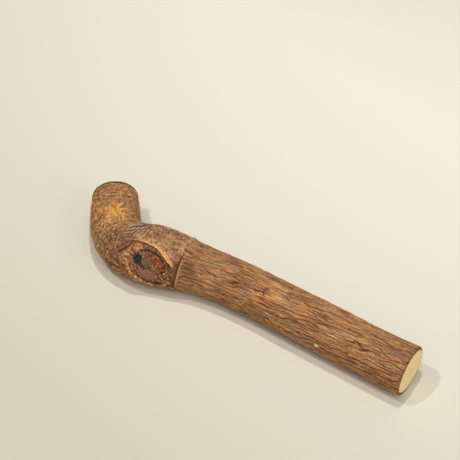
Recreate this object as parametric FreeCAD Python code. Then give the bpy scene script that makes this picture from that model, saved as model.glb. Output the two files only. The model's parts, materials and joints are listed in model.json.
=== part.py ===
import FreeCAD, Part
import math
import os

V = FreeCAD.Vector

# driving sizes, mm and degrees
branch_r = 20.0      # radius at the sawn handle end
handle_len = 205.0   # sawn handle end to the foot of the burl
head_len = 36.5      # end of the elbow to the sawn head face
bend = 52.0          # turn of the head away from the handle line
lobe = 0.012         # how far the sections are from oval
bark_t = 1.6         # outer bark
bast_t = 0.7         # inner bark
pith_r = 1.5
crack_in = 4.5       # crack round the bark, this far on the handle side of the burl's foot
crack_turn = 8.0
ridge_r = 1.4        # torn bark standing beside that crack
fold_turn = -13.0    # bark fold at the elbow: its turn in plan and its backward tilt
fold_tilt = 22.0
bark_short = 0.6     # the head's bark stops this far short of the sawn face
knot_on = 0.25       # knot axis, as a share of the step over the burl's crown
knot_lift = 27.0     # knot axis above level
knot_r = 12.5        # dead stub where it meets the bark
knot_foot_r = 3.5    # dead stub where it starts, clear of the pith
knot_foot = 4.5
knot_floor = 0.84    # broken top of the stub, as a share of the way out to the bark
stub_bark_t = 1.3    # old bark trapped round the stub
lip_r = 2.2          # callus lip, half its thickness
punk_t = 2.6         # crumbled wood standing on the stub
slit_r = 2.6         # rot hole beside the stub
slit_depth = 6.0
section_gap = 9.0    # spacing of the loft sections

# step, turn from straight (+ towards -Y), half width, half height, gap over the table
handle_rows = [(0.0, 0.0, 1.0, 1.0, 0.0), (0.29, 0.8, 0.985, 0.985, 0.4),
               (0.29, -0.2, 0.965, 0.965, 1.0), (0.2, 1.7, 0.96, 0.96, 1.8),
               (0.12, 6.5, 0.99, 0.99, 1.8), (0.1, 10.5, 1.09, 1.1, 0.6)]
burl_rows = [(0.83, 16.0, 1.225, 1.19, 0.0), (0.83, 14.5, 1.225, 1.175, 0.0),
             (0.75, 4.0, 1.17, 1.1, 0.0), (0.68, -0.31 * bend, 1.09, 1.05, 0.0),
             (0.75, -0.72 * bend, 1.07, 1.025, 0.0)]
head_rows = [(0.46, -0.95 * bend, 1.05, 1.0, 0.0), (0.54, -bend, 0.97, 0.97, 0.1)]

# outlines in the plane square to the knot axis: right, up, in knot radii
wound = [(-1.32, 1.0), (-0.4, 1.16), (0.48, 0.96), (1.2, 0.28), (1.04, -0.64), (0.28, -1.16),
         (-0.64, -1.08), (-1.16, -0.44)]
lip_path = [(-1.52, 1.08), (-0.96, 1.32), (-0.32, 1.376), (0.4, 1.184), (1.0, 0.76), (1.36, 0.16)]
lip_swell = [(0.0, 0.35), (0.2, 0.8), (0.5, 1.0), (0.8, 0.85), (1.0, 0.4)]
ridge_swell = [(0.0, 0.4), (0.3, 1.0), (0.6, 0.75), (1.0, 0.45)]
punk_path = [(-0.464, 0.496, 0.112), (-0.16, 0.24, 0.24), (0.2, -0.12, 0.256),
             (0.416, -0.464, 0.144)]   # right, up, half width
slit_at = (-0.976, 0.208)
# right, up, half length in mm
crumbs = [(-1.28, -0.52, 1.7), (-0.92, -1.0, 2.2), (-0.4, -1.248, 1.8), (0.12, -1.328, 2.3),
          (0.64, -1.168, 1.9), (1.056, -0.768, 1.5)]
# how far past the crack, angle round the branch, half length, turn
flakes = [(4.0, -38.0, 5.0, 14.0), (11.0, -52.0, 5.5, 30.0), (19.0, -44.0, 4.0, -12.0), (-9.0, -34.0, 3.5, 8.0)]


def heading(turn):
    a = math.radians(180.0 + turn)
    return V(math.cos(a), math.sin(a), 0)


def side_of(turn):
    return V(0, 0, 1).cross(heading(turn))


def walk():
    rows = [(step * size, *rest) for table, size in
            ((handle_rows, handle_len), (burl_rows, branch_r), (head_rows, head_len)) for step, *rest in table]
    at, run, out = V(0, 0, 0), 0.0, []
    for i, (step, turn, wide, high, gap) in enumerate(rows):
        at, run = at + heading(turn) * step, run + step
        plane = 0.0 if i == 0 else (turn + rows[min(i + 1, len(rows) - 1)][1]) / 2
        out.append((run, at + V(0, 0, (high - 1) * branch_r + gap), V(plane, wide * branch_r, high * branch_r)))
    return out


def spline(points, runs):
    curve = Part.BSplineCurve()
    curve.interpolate(Points=points, Parameters=runs)
    return curve


WALK = walk()
LENGTH = WALK[-1][0]
CROWN = WALK[len(handle_rows)][0]        # the burl's widest place
CRACK = WALK[len(handle_rows) - 1][0] - crack_in
CENTRES = spline([w[1] for w in WALK], [w[0] for w in WALK])
SIZES = spline([w[2] for w in WALK], [w[0] for w in WALK])


def skin_point(run, theta, inset=0.0):
    size, t = SIZES.value(run), math.radians(theta)
    uneven = 1 + lobe * (1 + math.sin(t)) / 2 * (math.cos(2 * t - run / 14) + math.cos(3 * t + run / 19))
    return (CENTRES.value(run) + side_of(size.x) * ((size.y * uneven - inset) * math.cos(t))
            + V(0, 0, (size.z * uneven - inset) * math.sin(t)))


def closed(points):
    curve = Part.BSplineCurve()
    even = [i / len(points) for i in range(len(points) + 1)]   # the same knots in every section
    curve.interpolate(Points=points, PeriodicFlag=True, Parameters=even)
    return Part.Wire(curve.toShape())


def loft(section, over):
    count = round(LENGTH / section_gap)
    wires = [closed(section(LENGTH * k / count)) for k in range(count + 1)]
    wires.insert(0, wires[0].translated(heading(SIZES.value(0).x) * -over))
    wires.append(wires[-1].translated(heading(SIZES.value(LENGTH).x) * over))
    return Part.makeLoft(wires, True)


def branch(inset, over):
    return loft(lambda run: [skin_point(run, a, inset) for a in range(0, 360, 24)], over)


def rod(radius, over):
    def ring(run):
        side = side_of(SIZES.value(run).x) * radius
        return [CENTRES.value(run) + side * math.cos(a) + V(0, 0, radius * math.sin(a))
                for a in (math.radians(d) for d in range(0, 360, 45))]
    return loft(ring, over)


def beyond(point, normal):
    size = 3 * LENGTH
    box = Part.makeBox(size, size, size, V(-size / 2, -size / 2, 0))
    box.Placement = FreeCAD.Placement(point, FreeCAD.Rotation(V(0, 0, 1), normal))
    return box


def past(run, turn, back=0.0):
    return beyond(CENTRES.value(run) - heading(turn) * back, heading(turn))


def knot_frame():
    run = CROWN + knot_on * (WALK[len(handle_rows) + 1][0] - CROWN)
    turn, lift = SIZES.value(run).x, math.radians(knot_lift)
    out = side_of(turn) * math.cos(lift) + V(0, 0, math.sin(lift))
    right = heading(turn) * -1
    return CENTRES.value(run), out, right, out.cross(right), (skin_point(run, knot_lift) - CENTRES.value(run)).Length


FOOT, OUT, RIGHT, UP, REACH = knot_frame()


def knot_point(x, y, out):   # right and up in knot radii, out in mm
    return FOOT + RIGHT * x * knot_r + UP * y * knot_r + OUT * out


def opening():
    wire = closed([knot_point(x, y, 0.5 * REACH) for x, y in wound])
    return Part.Face(wire).extrude(OUT * REACH)


def cone(extra, top):
    grow = (knot_r - knot_foot_r) / (REACH - knot_foot)
    foot = knot_foot - extra
    return Part.makeCone(knot_foot_r + extra * (1 - grow), knot_foot_r + extra + grow * (top - knot_foot),
                         top - foot, knot_point(0, 0, foot), OUT)


def on_skin(x, y, skin):
    ray = Part.makeLine(knot_point(x, y, 0), knot_point(x, y, 3 * REACH))
    return max((v.Point for v in skin.common(ray).Vertexes), key=lambda p: (p - FOOT).dot(OUT))


def bead(points, swell, radius):
    spine = Part.BSplineCurve()
    spine.interpolate(points)
    stops = [(share * spine.LastParameter, radius * r) for share, r in swell]
    circles = [Part.makeCircle(r, spine.value(u), spine.tangent(u)[0]) for u, r in stops]
    return Part.makeLoft([Part.Wire(c) for c in circles], True)


def callus_lip(skin):
    return bead([on_skin(x, y, skin) for x, y in lip_path], lip_swell, lip_r).cut(skin)


def crack_ridge(skin):
    points = []
    for theta in range(-20, 116, 15):
        edge = CENTRES.value(CRACK)
        out = side_of(crack_turn) * math.cos(math.radians(theta)) + V(0, 0, math.sin(math.radians(theta)))
        ends = skin.common(Part.makeLine(edge, edge + out * 3 * branch_r)).Vertexes
        points.append(max((v.Point for v in ends), key=lambda p: (p - edge).Length))
    return bead(points, ridge_swell, ridge_r).cut(skin)


def punk():
    wires, base = [], knot_floor * REACH
    for x, y, half in punk_path:
        top = base + punk_t * half / max(h for *_, h in punk_path)
        ring = [(-half, base), (-0.9 * half, (base + top) / 2), (-0.3 * half, top), (0.4 * half, top),
                (0.9 * half, (base + top) / 2), (half, base)]
        wires.append(Part.makePolygon([knot_point(x + 0.7 * w, y + 0.7 * w, o) for w, o in ring + ring[:1]]))
    return Part.makeLoft(wires, True, True)


def chip(point, normal, half, thick, turn):
    outline = [(-1.0, -0.3), (-0.3, -0.6), (0.8, -0.4), (1.0, 0.2), (0.1, 0.55), (-1.0, -0.3)]
    plate = Part.Face(Part.makePolygon([V(half * x, half * y, 0) for x, y in outline])).extrude(V(0, 0, thick))
    spin = FreeCAD.Rotation(V(0, 0, 1), normal).multiply(FreeCAD.Rotation(V(0, 0, 1), turn))
    plate.Placement = FreeCAD.Placement(point, spin)
    return plate


def crust(skin):
    chips = []
    for i, (x, y, half) in enumerate(crumbs):
        at = on_skin(x, y, skin)
        chips.append(chip(at - OUT * 0.8 * half, OUT, half, 1.6 * half, 40.0 * i).cut(skin))
    return Part.makeCompound(chips)


def loose_flakes(skin):
    chips = []
    for ahead, theta, half, turn in flakes:
        at = skin_point(CRACK + ahead, theta)
        out = (at - CENTRES.value(CRACK + ahead)).normalize()
        chips.append(chip(at - out * 1.2, out, half, 2.6, turn).cut(skin))
    return Part.makeCompound(chips)


def build():
    start, end = SIZES.value(0).x, SIZES.value(LENGTH).x
    span = past(0, start).cut(past(LENGTH, end))
    skin, under, wood, core = branch(0, 4), branch(bark_t, 6), branch(bark_t + bast_t, 8), rod(pith_r, 10)
    crack = past(CRACK, crack_turn)
    fold_at = WALK[len(handle_rows) + 2][1] + V(0, 0, 0.45 * branch_r)
    tilt = math.radians(fold_tilt)
    fold = beyond(fold_at, heading(fold_turn) * math.cos(tilt) + V(0, 0, math.sin(tilt)))
    head_bare = past(LENGTH, end, bark_short)
    hole = opening()
    slit = Part.makeCylinder(slit_r, 3 * slit_depth, knot_point(*slit_at, REACH - bark_t - slit_depth), OUT)
    stub = cone(0, knot_floor * REACH)
    bark = skin.cut(under).common(span)
    burl_side = bark.common(crack)
    return {
        "sapwood": wood.common(span).cut(core).cut(cone(stub_bark_t, 2 * REACH)).cut(slit),
        "pith": core.common(span),
        "inner_bark": under.cut(wood).common(span).cut(head_bare).cut(hole),
        "handle_bark": bark.cut(crack),
        "burl_bark": burl_side.cut(fold).cut(hole),
        "head_bark": burl_side.common(fold).cut(head_bare).cut(hole),
        "knot_wood": stub.cut(slit),
        "stub_bark": cone(stub_bark_t, (knot_floor + 0.06) * REACH).cut(cone(0, 2 * REACH)).cut(slit),
        "punk_wood": punk(),
        "callus_lip": callus_lip(skin),
        "wound_crust": crust(skin),
        "crack_ridge": crack_ridge(skin),
        "bark_flakes": loose_flakes(skin),
    }


os.makedirs("parts", exist_ok=True)
for name, shape in build().items():
    shape.exportStep("parts/" + name + ".step")
    print(name, shape.isValid(), len(shape.Solids), round(shape.Volume, 1))
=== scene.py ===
import json
import math
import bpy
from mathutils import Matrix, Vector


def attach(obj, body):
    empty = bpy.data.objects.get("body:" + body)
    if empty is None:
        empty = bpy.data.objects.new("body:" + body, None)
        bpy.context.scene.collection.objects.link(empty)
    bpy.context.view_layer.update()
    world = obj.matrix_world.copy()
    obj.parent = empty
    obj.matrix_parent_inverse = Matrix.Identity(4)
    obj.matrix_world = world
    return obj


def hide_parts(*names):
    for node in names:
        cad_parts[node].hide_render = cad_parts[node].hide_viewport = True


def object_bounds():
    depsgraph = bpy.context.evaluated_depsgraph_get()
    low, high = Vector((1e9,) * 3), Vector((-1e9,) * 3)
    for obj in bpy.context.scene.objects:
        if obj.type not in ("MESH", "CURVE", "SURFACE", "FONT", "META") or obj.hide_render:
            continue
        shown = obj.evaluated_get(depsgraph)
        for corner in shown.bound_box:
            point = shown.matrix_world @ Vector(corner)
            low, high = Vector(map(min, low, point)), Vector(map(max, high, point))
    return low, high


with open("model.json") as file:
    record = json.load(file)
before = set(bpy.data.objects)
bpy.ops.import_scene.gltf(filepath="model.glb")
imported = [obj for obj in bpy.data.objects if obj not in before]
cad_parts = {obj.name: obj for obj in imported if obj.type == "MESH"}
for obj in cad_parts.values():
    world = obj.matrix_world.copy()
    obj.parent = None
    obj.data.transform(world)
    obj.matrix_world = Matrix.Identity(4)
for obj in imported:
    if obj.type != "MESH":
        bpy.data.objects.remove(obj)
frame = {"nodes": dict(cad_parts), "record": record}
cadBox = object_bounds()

from types import SimpleNamespace

import bpy
import numpy as np
from mathutils import Vector
from mathutils.bvhtree import BVHTree

mm = 0.001
rng = np.random.default_rng(41)


def nodeArrays(*names):
    points, tris = [], []
    for name in names:
        mesh = frame["nodes"][name].data
        co = np.empty(len(mesh.vertices) * 3)
        mesh.vertices.foreach_get("co", co)
        mesh.calc_loop_triangles()
        tri = np.empty(len(mesh.loop_triangles) * 3, int)
        mesh.loop_triangles.foreach_get("vertices", tri)
        tris.append(tri.reshape(-1, 3) + sum(len(p) for p in points))
        points.append(co.reshape(-1, 3))
    return np.concatenate(points), np.concatenate(tris)


def unit(v):
    return v / np.maximum(np.linalg.norm(v, axis=-1, keepdims=True), 1e-12)


def flatFace(name, towards):  # middle and normal of a node's largest flat face that looks that way
    co, tri = nodeArrays(name)
    cross = np.cross(co[tri[:, 1]] - co[tri[:, 0]], co[tri[:, 2]] - co[tri[:, 0]])
    area = np.linalg.norm(cross, axis=1)
    normal = unit(cross)
    ok = (normal @ np.array(towards) > 0.7) & (area > 1e-12)
    groups = {}
    for i in np.nonzero(ok)[0]:
        groups.setdefault(tuple(np.round(normal[i], 2)), []).append(i)
    best = max(groups.values(), key=lambda g: area[g].sum())
    middle = (co[tri[best]].mean(1) * area[best, None]).sum(0) / area[best].sum()
    return middle, unit((normal[best] * area[best, None]).sum(0))


def traceMiddle(name, start, travel, step):  # walks down the pith
    co, tri = nodeArrays(name)
    edges = np.concatenate([tri[:, [0, 1]], tri[:, [1, 2]], tri[:, [2, 0]]])
    middles, travel = [np.array(start, float)], unit(np.array(travel, float))
    while True:
        guess = middles[-1] + travel * step
        side = (co - guess) @ travel
        a, b = edges[:, 0], edges[:, 1]
        cut = (side[a] < 0) != (side[b] < 0)
        a, b = a[cut], b[cut]
        t = (side[a] / (side[a] - side[b]))[:, None]
        hits = co[a] + (co[b] - co[a]) * t
        hits = hits[np.linalg.norm(hits - guess, axis=1) < 4 * mm]
        if len(hits) < 3:
            return np.array(middles)
        middle = (hits.min(0) + hits.max(0)) / 2
        travel = unit(unit(middle - middles[-1]) + travel)
        middles.append(middle)


mounts = {m["name"]: m for m in frame["record"]["mounts"]}
handleFace = np.array(mounts["handle_end"]["pos_m"], float)
handleOut = np.array(mounts["handle_end"]["axis"], float)
headFace = np.array(mounts["head_end"]["pos_m"], float)
headOut = np.array(mounts["head_end"]["axis"], float)

middles = traceMiddle("pith", handleFace, -handleOut, 4 * mm)
middles = np.vstack([middles[np.linalg.norm(middles - headFace, axis=1) > 3 * mm], headFace])
for _ in range(3):
    middles[1:-1] = (middles[:-2] + 2 * middles[1:-1] + middles[2:]) / 4
coarseRun = np.concatenate([[0], np.cumsum(np.linalg.norm(np.diff(middles, axis=0), axis=1))])
length = coarseRun[-1]
slopes = np.gradient(middles, coarseRun, axis=0)


def along(run):  # point and travel direction on the middle line
    run = np.asarray(run, float)
    i = np.clip(np.searchsorted(coarseRun, run) - 1, 0, len(coarseRun) - 2)
    h = coarseRun[i + 1] - coarseRun[i]
    t = ((run - coarseRun[i]) / h)[..., None]
    h = h[..., None]
    a, b, ma, mb = middles[i], middles[i + 1], slopes[i] * h, slopes[i + 1] * h
    point = ((2 * t**3 - 3 * t**2 + 1) * a + (t**3 - 2 * t**2 + t) * ma + (3 * t**2 - 2 * t**3) * b
             + (t**3 - t**2) * mb)
    return point, unit(slopes[i] * (1 - t) + slopes[i + 1] * t)


def spoke(run, angle):  # direction out of the middle line; angle 0 is the wound's side, 90 degrees is up
    point, travel = along(run)
    side = unit(np.stack([-travel[..., 1], travel[..., 0], 0 * travel[..., 0]], -1))
    up = np.cross(travel, side)
    return point, side * np.cos(angle)[..., None] + up * np.sin(angle)[..., None]


tableRows = 110
tableCols = 96
tableRun = np.linspace(0.15 * mm, length - 0.15 * mm, tableRows)
tableAngle = np.arange(tableCols) * 2 * math.pi / tableCols


def radiusTable(names, reach):  # how far each node's outside lies from the middle line, wound filled over
    co, tri = nodeArrays(*names)
    tree = BVHTree.FromPolygons([tuple(p) for p in co], [tuple(t) for t in tri])
    run, angle = np.meshgrid(tableRun, tableAngle, indexing="ij")
    point, out = spoke(run, angle)
    table = np.full(run.shape, np.nan)
    for i in range(tableRows):
        for j in range(tableCols):
            start = point[i, j] + out[i, j] * reach
            hit = tree.ray_cast(Vector(start), Vector(-out[i, j]), reach)
            if hit[0] is not None:
                table[i, j] = reach - hit[3]
    usual = np.nanmedian(table, axis=1, keepdims=True)
    table[np.abs(table / usual - 1) > 0.3] = np.nan
    empty = np.isnan(table)
    for i in range(tableRows):
        if empty[i].all():
            table[i] = table[i - 1] if i else np.nanmedian(table)
            empty[i] = False
    grow = empty | np.roll(empty, 1, 1) | np.roll(empty, -1, 1)
    grow[1:] |= empty[:-1]
    grow[:-1] |= empty[1:]
    table = np.where(grow, usual, table)
    for _ in range(900):
        rows = np.pad(table, ((1, 1), (0, 0)), mode="edge")
        mean = (rows[:-2] + rows[2:] + np.roll(table, 1, 1) + np.roll(table, -1, 1)) / 4
        table = np.where(grow, mean, table)
    return table


def readTable(table, run, angle):
    x = np.clip((run - tableRun[0]) / (tableRun[1] - tableRun[0]), 0, tableRows - 1.001)
    y = (angle / (2 * math.pi) % 1) * tableCols
    i, j = x.astype(int), y.astype(int) % tableCols
    u, v = x - i, y - np.floor(y)
    u, v = u * u * (3 - 2 * u) * 0.4 + u * 0.6, v * v * (3 - 2 * v) * 0.4 + v * 0.6
    k = (j + 1) % tableCols
    near = table[i, j] * (1 - u) + table[i + 1, j] * u
    far = table[i, k] * (1 - u) + table[i + 1, k] * u
    return near * (1 - v) + far * v


barkNodes = ("handle_bark", "burl_bark", "head_bark")
outsideReach = 36 * mm   # rays start this far from the middle line, outside the thickest bark
barkTable = radiusTable(barkNodes, outsideReach)
bastTable = radiusTable(("inner_bark",), outsideReach)
print("read the middle line,", round(length * 1000), "mm long")

crackMiddle, crackNormal = flatFace("handle_bark", -handleOut)
foldMiddle, foldNormal = flatFace("head_bark", -headOut)
foldNormal = -foldNormal
stubFoot, stubDown = flatFace("knot_wood", (0, 0.8, -0.6))
knotOut = -stubDown
knotUp = unit(np.array([0, 0, 1.0]) - knotOut * knotOut[2])
knotRight = np.cross(knotUp, knotOut)


def knotPlace(points):  # right, up and out of the wound's own plane
    rel = points - stubFoot
    return rel @ knotRight, rel @ knotUp, rel @ knotOut


def planeRun(middle, normal, angle):  # where each lengthwise line of the bark crosses a cut
    runs = np.linspace(0, length, 900)
    run, ang = np.meshgrid(runs, angle, indexing="ij")
    point, out = spoke(run, ang)
    side = (point + out * readTable(barkTable, run, ang)[..., None] - middle) @ normal
    first = np.argmax(side > 0, axis=0)
    j = np.arange(len(angle))
    a, b = side[first - 1, j], side[first, j]
    return runs[first - 1] + (runs[first] - runs[first - 1]) * a / (a - b)


edgeAngle = np.linspace(0, 2 * math.pi, 361)
crackEdge = planeRun(crackMiddle, crackNormal, edgeAngle)
foldEdge = planeRun(foldMiddle, foldNormal, edgeAngle)
barkStop = flatFace("head_bark", headOut)[0]
bareWood = length - float((headFace - barkStop) @ headOut)   # where the head's bark stops
lowBulge = {"amount": 3.6 * mm, "turn": -0.5, "width": 0.62}  # the crack's bend towards the burl, low down


def crackAt(angle):
    lowSide = (angle - lowBulge["turn"] + math.pi) % (2 * math.pi) - math.pi
    bulge = lowBulge["amount"] * np.exp(-(lowSide / lowBulge["width"]) ** 2)
    return np.interp(angle % (2 * math.pi), edgeAngle, crackEdge) + bulge


def foldAt(angle):
    return np.interp(angle % (2 * math.pi), edgeAngle, foldEdge)


def scramble(cell, seed):  # a whole number for each cell
    h = cell[0] * 73856093 ^ cell[1] * 19349663 ^ cell[2] * 83492791
    h = (h ^ (seed * 2654435761)) & 0xffffffff
    return ((h ^ (h >> 15)) * 2246822519) & 0xffffffff


def noise(p, seed):  # smooth gradient noise, about -1 to 1
    cell = np.floor(p).astype(np.int64)
    f = p - cell
    w = f * f * f * (f * (f * 6 - 15) + 10)
    total = np.zeros(p.shape[:-1])
    for dx in (0, 1):
        for dy in (0, 1):
            for dz in (0, 1):
                h = scramble((cell[..., 0] + dx, cell[..., 1] + dy, cell[..., 2] + dz), seed)
                h = ((h ^ (h >> 13)) * 3266489917) & 0xffffffff
                turn = (h & 1023) * (2 * math.pi / 1023)
                z = ((h >> 10) & 1023) / 511.5 - 1
                flat = np.sqrt(np.maximum(0, 1 - z * z))
                dot = (flat * np.cos(turn) * (f[..., 0] - dx) + flat * np.sin(turn) * (f[..., 1] - dy)
                       + z * (f[..., 2] - dz))
                part = ((w[..., 0] if dx else 1 - w[..., 0]) * (w[..., 1] if dy else 1 - w[..., 1])
                        * (w[..., 2] if dz else 1 - w[..., 2]))
                total += dot * part
    return total * 1.7


def cells(p, seed):  # distances to the two nearest scattered points, and the nearest one's own number
    cell = np.floor(p).astype(np.int64)
    near = np.full(p.shape[:-1], 9.0)
    second = np.full(p.shape[:-1], 9.0)
    own = np.zeros(p.shape[:-1])
    for dx in (-1, 0, 1):
        for dy in (-1, 0, 1):
            for dz in (-1, 0, 1):
                c = cell + np.array([dx, dy, dz])
                h = scramble((c[..., 0], c[..., 1], c[..., 2]), seed)
                h = h ^ (h >> 13)
                spot = c + np.stack([(h & 1023), (h >> 10) & 1023, (h >> 20) & 1023], -1) / 1023.0
                d = np.linalg.norm(spot - p, axis=-1)
                closer = d < near
                second = np.minimum(second, np.where(closer, near, d))
                own = np.where(closer, ((h >> 5) & 4095) / 4095.0, own)
                near = np.where(closer, d, near)
    return near, second, own


def smooth(low, high, x):
    t = np.clip((x - low) / (high - low), 0, 1)
    return t * t * (3 - 2 * t)


def bump(x, width):
    return np.exp(-(x / width) ** 2)


def groove(n, width):  # 1 along the lines where the noise changes sign
    return np.exp(-(n / width) ** 2)


def strokeDistance(x, y, points):  # distance to a short line through points, and share along it
    best = np.full(x.shape, 1e9)
    share = np.zeros(x.shape)
    count = len(points) - 1
    for k in range(count):
        (ax, ay), (bx, by) = points[k], points[k + 1]
        dx, dy = bx - ax, by - ay
        t = np.clip(((x - ax) * dx + (y - ay) * dy) / (dx * dx + dy * dy), 0, 1)
        d = np.hypot(x - ax - t * dx, y - ay - t * dy)
        closer = d < best
        best = np.where(closer, d, best)
        share = np.where(closer, (k + t) / count, share)
    return best, share


wound = {  # millimetres in the wound's plane: right, up
    "edge": [(-18.6, 9.5), (-17.5, 14.6), (-11.0, 15.6), (-4.0, 15.3), (3.0, 14.2), (9.8, 10.2),
             (15.8, 5.2), (17.6, -1.4), (16.6, -9.2), (11.8, -16.4), (4.0, -18.8), (-3.0, -18.0),
             (-9.5, -14.8), (-14.5, -10.6), (-17.9, -5.6), (-18.8, 2.0)],
    "lipPath": [(-18.6, 15.2), (-15.0, 16.2), (-11.3, 16.5), (-3.7, 16.3), (3.1, 15.2), (7.5, 13.0),
                (11.5, 10.2), (15.0, 7.4), (17.8, 4.6), (18.8, 2.6)],
    "stubEdge": [(-15.4, 3.0), (-12.8, 9.6), (-7.0, 11.2), (-0.4, 10.9), (6.1, 8.6), (11.0, 4.2),
                 (12.9, -2.0), (10.6, -8.5), (4.0, -12.8), (-4.0, -13.6), (-11.0, -11.6), (-15.6, -4.0)],
    "rimPath": [(-18.4, -6.6), (-14.8, -11.2), (-9.8, -15.2), (-2.9, -18.3), (7.0, -19.2)],
    "seamPath": [(-17.8, 15.4), (-20.3, 10.8), (-25.4, 5.8), (-32.5, -0.2)],
    "shortSeamPath": [(-22.5, 12.0), (-27.5, 7.5), (-31.0, 5.5)],
    "swell": 0.9, "swellWidth": 5.0,
}


def insideOutline(x, y, outline, wobble=0.0):  # above 0 inside, roughly in millimetres
    turn = np.arctan2(y, x)
    pts = np.array(sorted(outline, key=lambda p: math.atan2(p[1], p[0])))
    ang, rad = np.arctan2(pts[:, 1], pts[:, 0]), np.hypot(pts[:, 0], pts[:, 1])
    ang = np.concatenate([ang - 2 * math.pi, ang, ang + 2 * math.pi])
    fine = np.linspace(-math.pi, math.pi, 361)
    edge = np.interp(fine, ang, np.tile(rad, 3))
    edge = np.convolve(np.concatenate([edge[-8:-1], edge, edge[1:8]]), np.ones(15) / 15, "valid")
    return np.interp(turn, fine, edge) + wobble - np.hypot(x, y)


meanRadius = 20.0  # mm, the branch that arcs and noise are measured on

barkShape = {
    # lines on the handle: count, slant, wobble, width, length, share left bare, seed
    "leftLines": (36, 0.019, 0.55, 0.25, 34, -0.3, 201),
    "rightLines": (29, -0.017, 0.55, 0.22, 26, -0.08, 211),
    "fineLines": (84, 0.012, 1.1, 0.18, 20, -0.2, 221),
    "fissureDepth": 0.8, "fineDepth": 0.36, "grit": 0.16, "twist": 0.0011,
    "netSize": 2.6, "netDepth": 0.25, "lumpHeight": 0.5, "crustHeight": 0.42,
    "wartSize": 1.8, "wartHeight": 0.38, "wrinkleDepth": 0.42,
    "foldDepth": 0.5, "foldSpacing": 2.0, "fanDepth": 0.34, "seamDepth": 1.5, "shortSeamDepth": 0.8,
    "crotchDepth": 1.7, "crotchTurn": 178, "ringCrackDepth": 0.95, "ringStep": 0.45,
    "topStep": 1.3, "topStepTurn": 100, "edgeDrop": 0.3, "edgeLength": 2.6, "sawDrop": 0.45, "sawLength": 2.2,
}

marks = {  # run mm, angle degrees, size mm
    "scar": (125.0, 66.0, 5.2),
    "lens": (115.0, 66.0),
    "chips": [(71.0, 5.0, 2.3), (43.0, 26.0, 0.9), (31.0, 60.0, 0.6), (152.0, 68.0, 0.9), (158.0, 74.0, 0.8),
              (104.0, 74.0, 1.1), (99.0, 82.0, 0.7), (112.0, 96.0, 0.8), (137.0, 35.0, 0.6)],
    "goldStar": (281.0, 94.0, 17.0),
}


def arc(angle, degrees):  # millimetres round the branch from a given angle
    return ((angle - math.radians(degrees) + math.pi) % (2 * math.pi) - math.pi) * meanRadius


def slantLines(run, turn, count, slant, wobble, width, length, bare, seed):  # broken lines, nearly lengthwise
    around = np.stack([np.cos(turn), np.sin(turn)], -1)
    phase = count * turn / (2 * math.pi) + slant * run
    phase = phase + wobble * noise(np.concatenate([run[..., None] / 16, 5 * around], -1), seed)
    phase = phase + 0.12 * wobble * noise(np.concatenate([run[..., None] / 4, 12 * around], -1), seed + 1)
    index = np.round(phase)
    off = (phase - index) * 2 * meanRadius * math.pi / count
    number = index % count
    shown = noise(np.stack([run / length, number * 3.7, 0 * run], -1), seed + 2)
    return bump(off, width * (1 + 0.5 * shown)) * smooth(bare - 0.25, bare + 0.2, shown), number


def barkPlaces(run, angle, points):  # where each bit of bark lies in mm, and the noises it shares
    at = SimpleNamespace(run=run / mm, angle=angle, turned=np.degrees(angle) % 360)
    drift = 0.085 * noise(np.stack([at.run / 40, 3 * np.cos(angle), 3 * np.sin(angle)], -1), 3)
    drift = drift + 0.035 * noise(np.stack([at.run / 12, 6 * np.cos(angle), 6 * np.sin(angle)], -1), 4)
    at.twisted = angle + barkShape["twist"] * at.run + drift
    at.grown = np.stack([at.run, meanRadius * np.cos(at.twisted), meanRadius * np.sin(at.twisted)], -1)
    at.plain = np.stack([at.run, meanRadius * np.cos(angle), meanRadius * np.sin(angle)], -1)
    at.right, at.up, at.out = (v / mm for v in knotPlace(points))
    at.front = smooth(2, 9, at.out)
    at.fromCrack = (run - crackAt(angle)) / mm      # above 0 on the burl's side
    at.fromFold = (run - foldAt(angle)) / mm        # above 0 on the head's side
    at.fromEdge = (bareWood - run) / mm
    at.ragged = noise(at.plain / 2.4, 11)
    at.lump = noise(at.plain / 6.0, 32)
    at.mottle = noise(at.plain / 2.0, 39)
    at.grit = noise(at.plain / 0.85, 27) + 0.7 * noise(at.plain / 0.5, 28)
    at.crust = noise(at.plain / np.array([2.1, 1.4, 1.4]), 41) + 0.7 * noise(at.plain / 1.1, 42)
    at.burl = smooth(-0.6, 0.6, at.fromCrack + 0.5 * at.ragged)
    at.head = smooth(-3.5, 3.5, at.fromFold + 2.5 * noise(at.plain / 6.0, 13))
    at.nearBurl = smooth(-60, -6, at.fromCrack)
    wobble = 0.6 * at.ragged + 0.5 * noise(at.plain / 5.0, 12)
    at.inside = insideOutline(at.right, at.up, wound["edge"], wobble)
    at.onWound = at.front * smooth(-1, 1, at.inside)
    return at


def handlePlates(at):  # lengthwise plates with fissures between them
    b = barkShape
    left, leftNumber = slantLines(at.run, at.twisted, *b["leftLines"])
    right, rightNumber = slantLines(at.run, at.twisted, *b["rightLines"])
    at.fine = slantLines(at.run, at.twisted, *b["fineLines"])[0]
    at.fissure = np.maximum(left, right)
    between = np.stack([at.run / 13, leftNumber * 5.3, rightNumber * 3.7], -1)
    at.plate = np.clip(0.5 + 0.6 * noise(between, 23), 0, 1)   # each plate's own level and tint
    at.thread = noise(at.grown / np.array([7.0, 0.9, 0.9]), 23)
    at.thread = at.thread + 0.8 * noise(at.grown / np.array([12.0, 1.7, 1.7]), 25)
    ledge = noise(at.plain / np.array([5.0, 3.0, 3.0]), 24)
    crossing = groove(noise(at.plain / np.array([1.9, 5.0, 5.0]), 29), 0.14)
    at.crossing = crossing * smooth(0.0, 0.5, noise(at.plain / 6.0, 30))
    height = -b["fissureDepth"] * at.fissure - b["fineDepth"] * at.fine
    height = height + 0.22 * (at.plate - 0.5) + 0.16 * ledge
    height = (1 - 0.3 * at.nearBurl) * height
    return height - 0.15 * at.crossing + 0.22 * at.thread + b["grit"] * at.grit + 0.12


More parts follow.
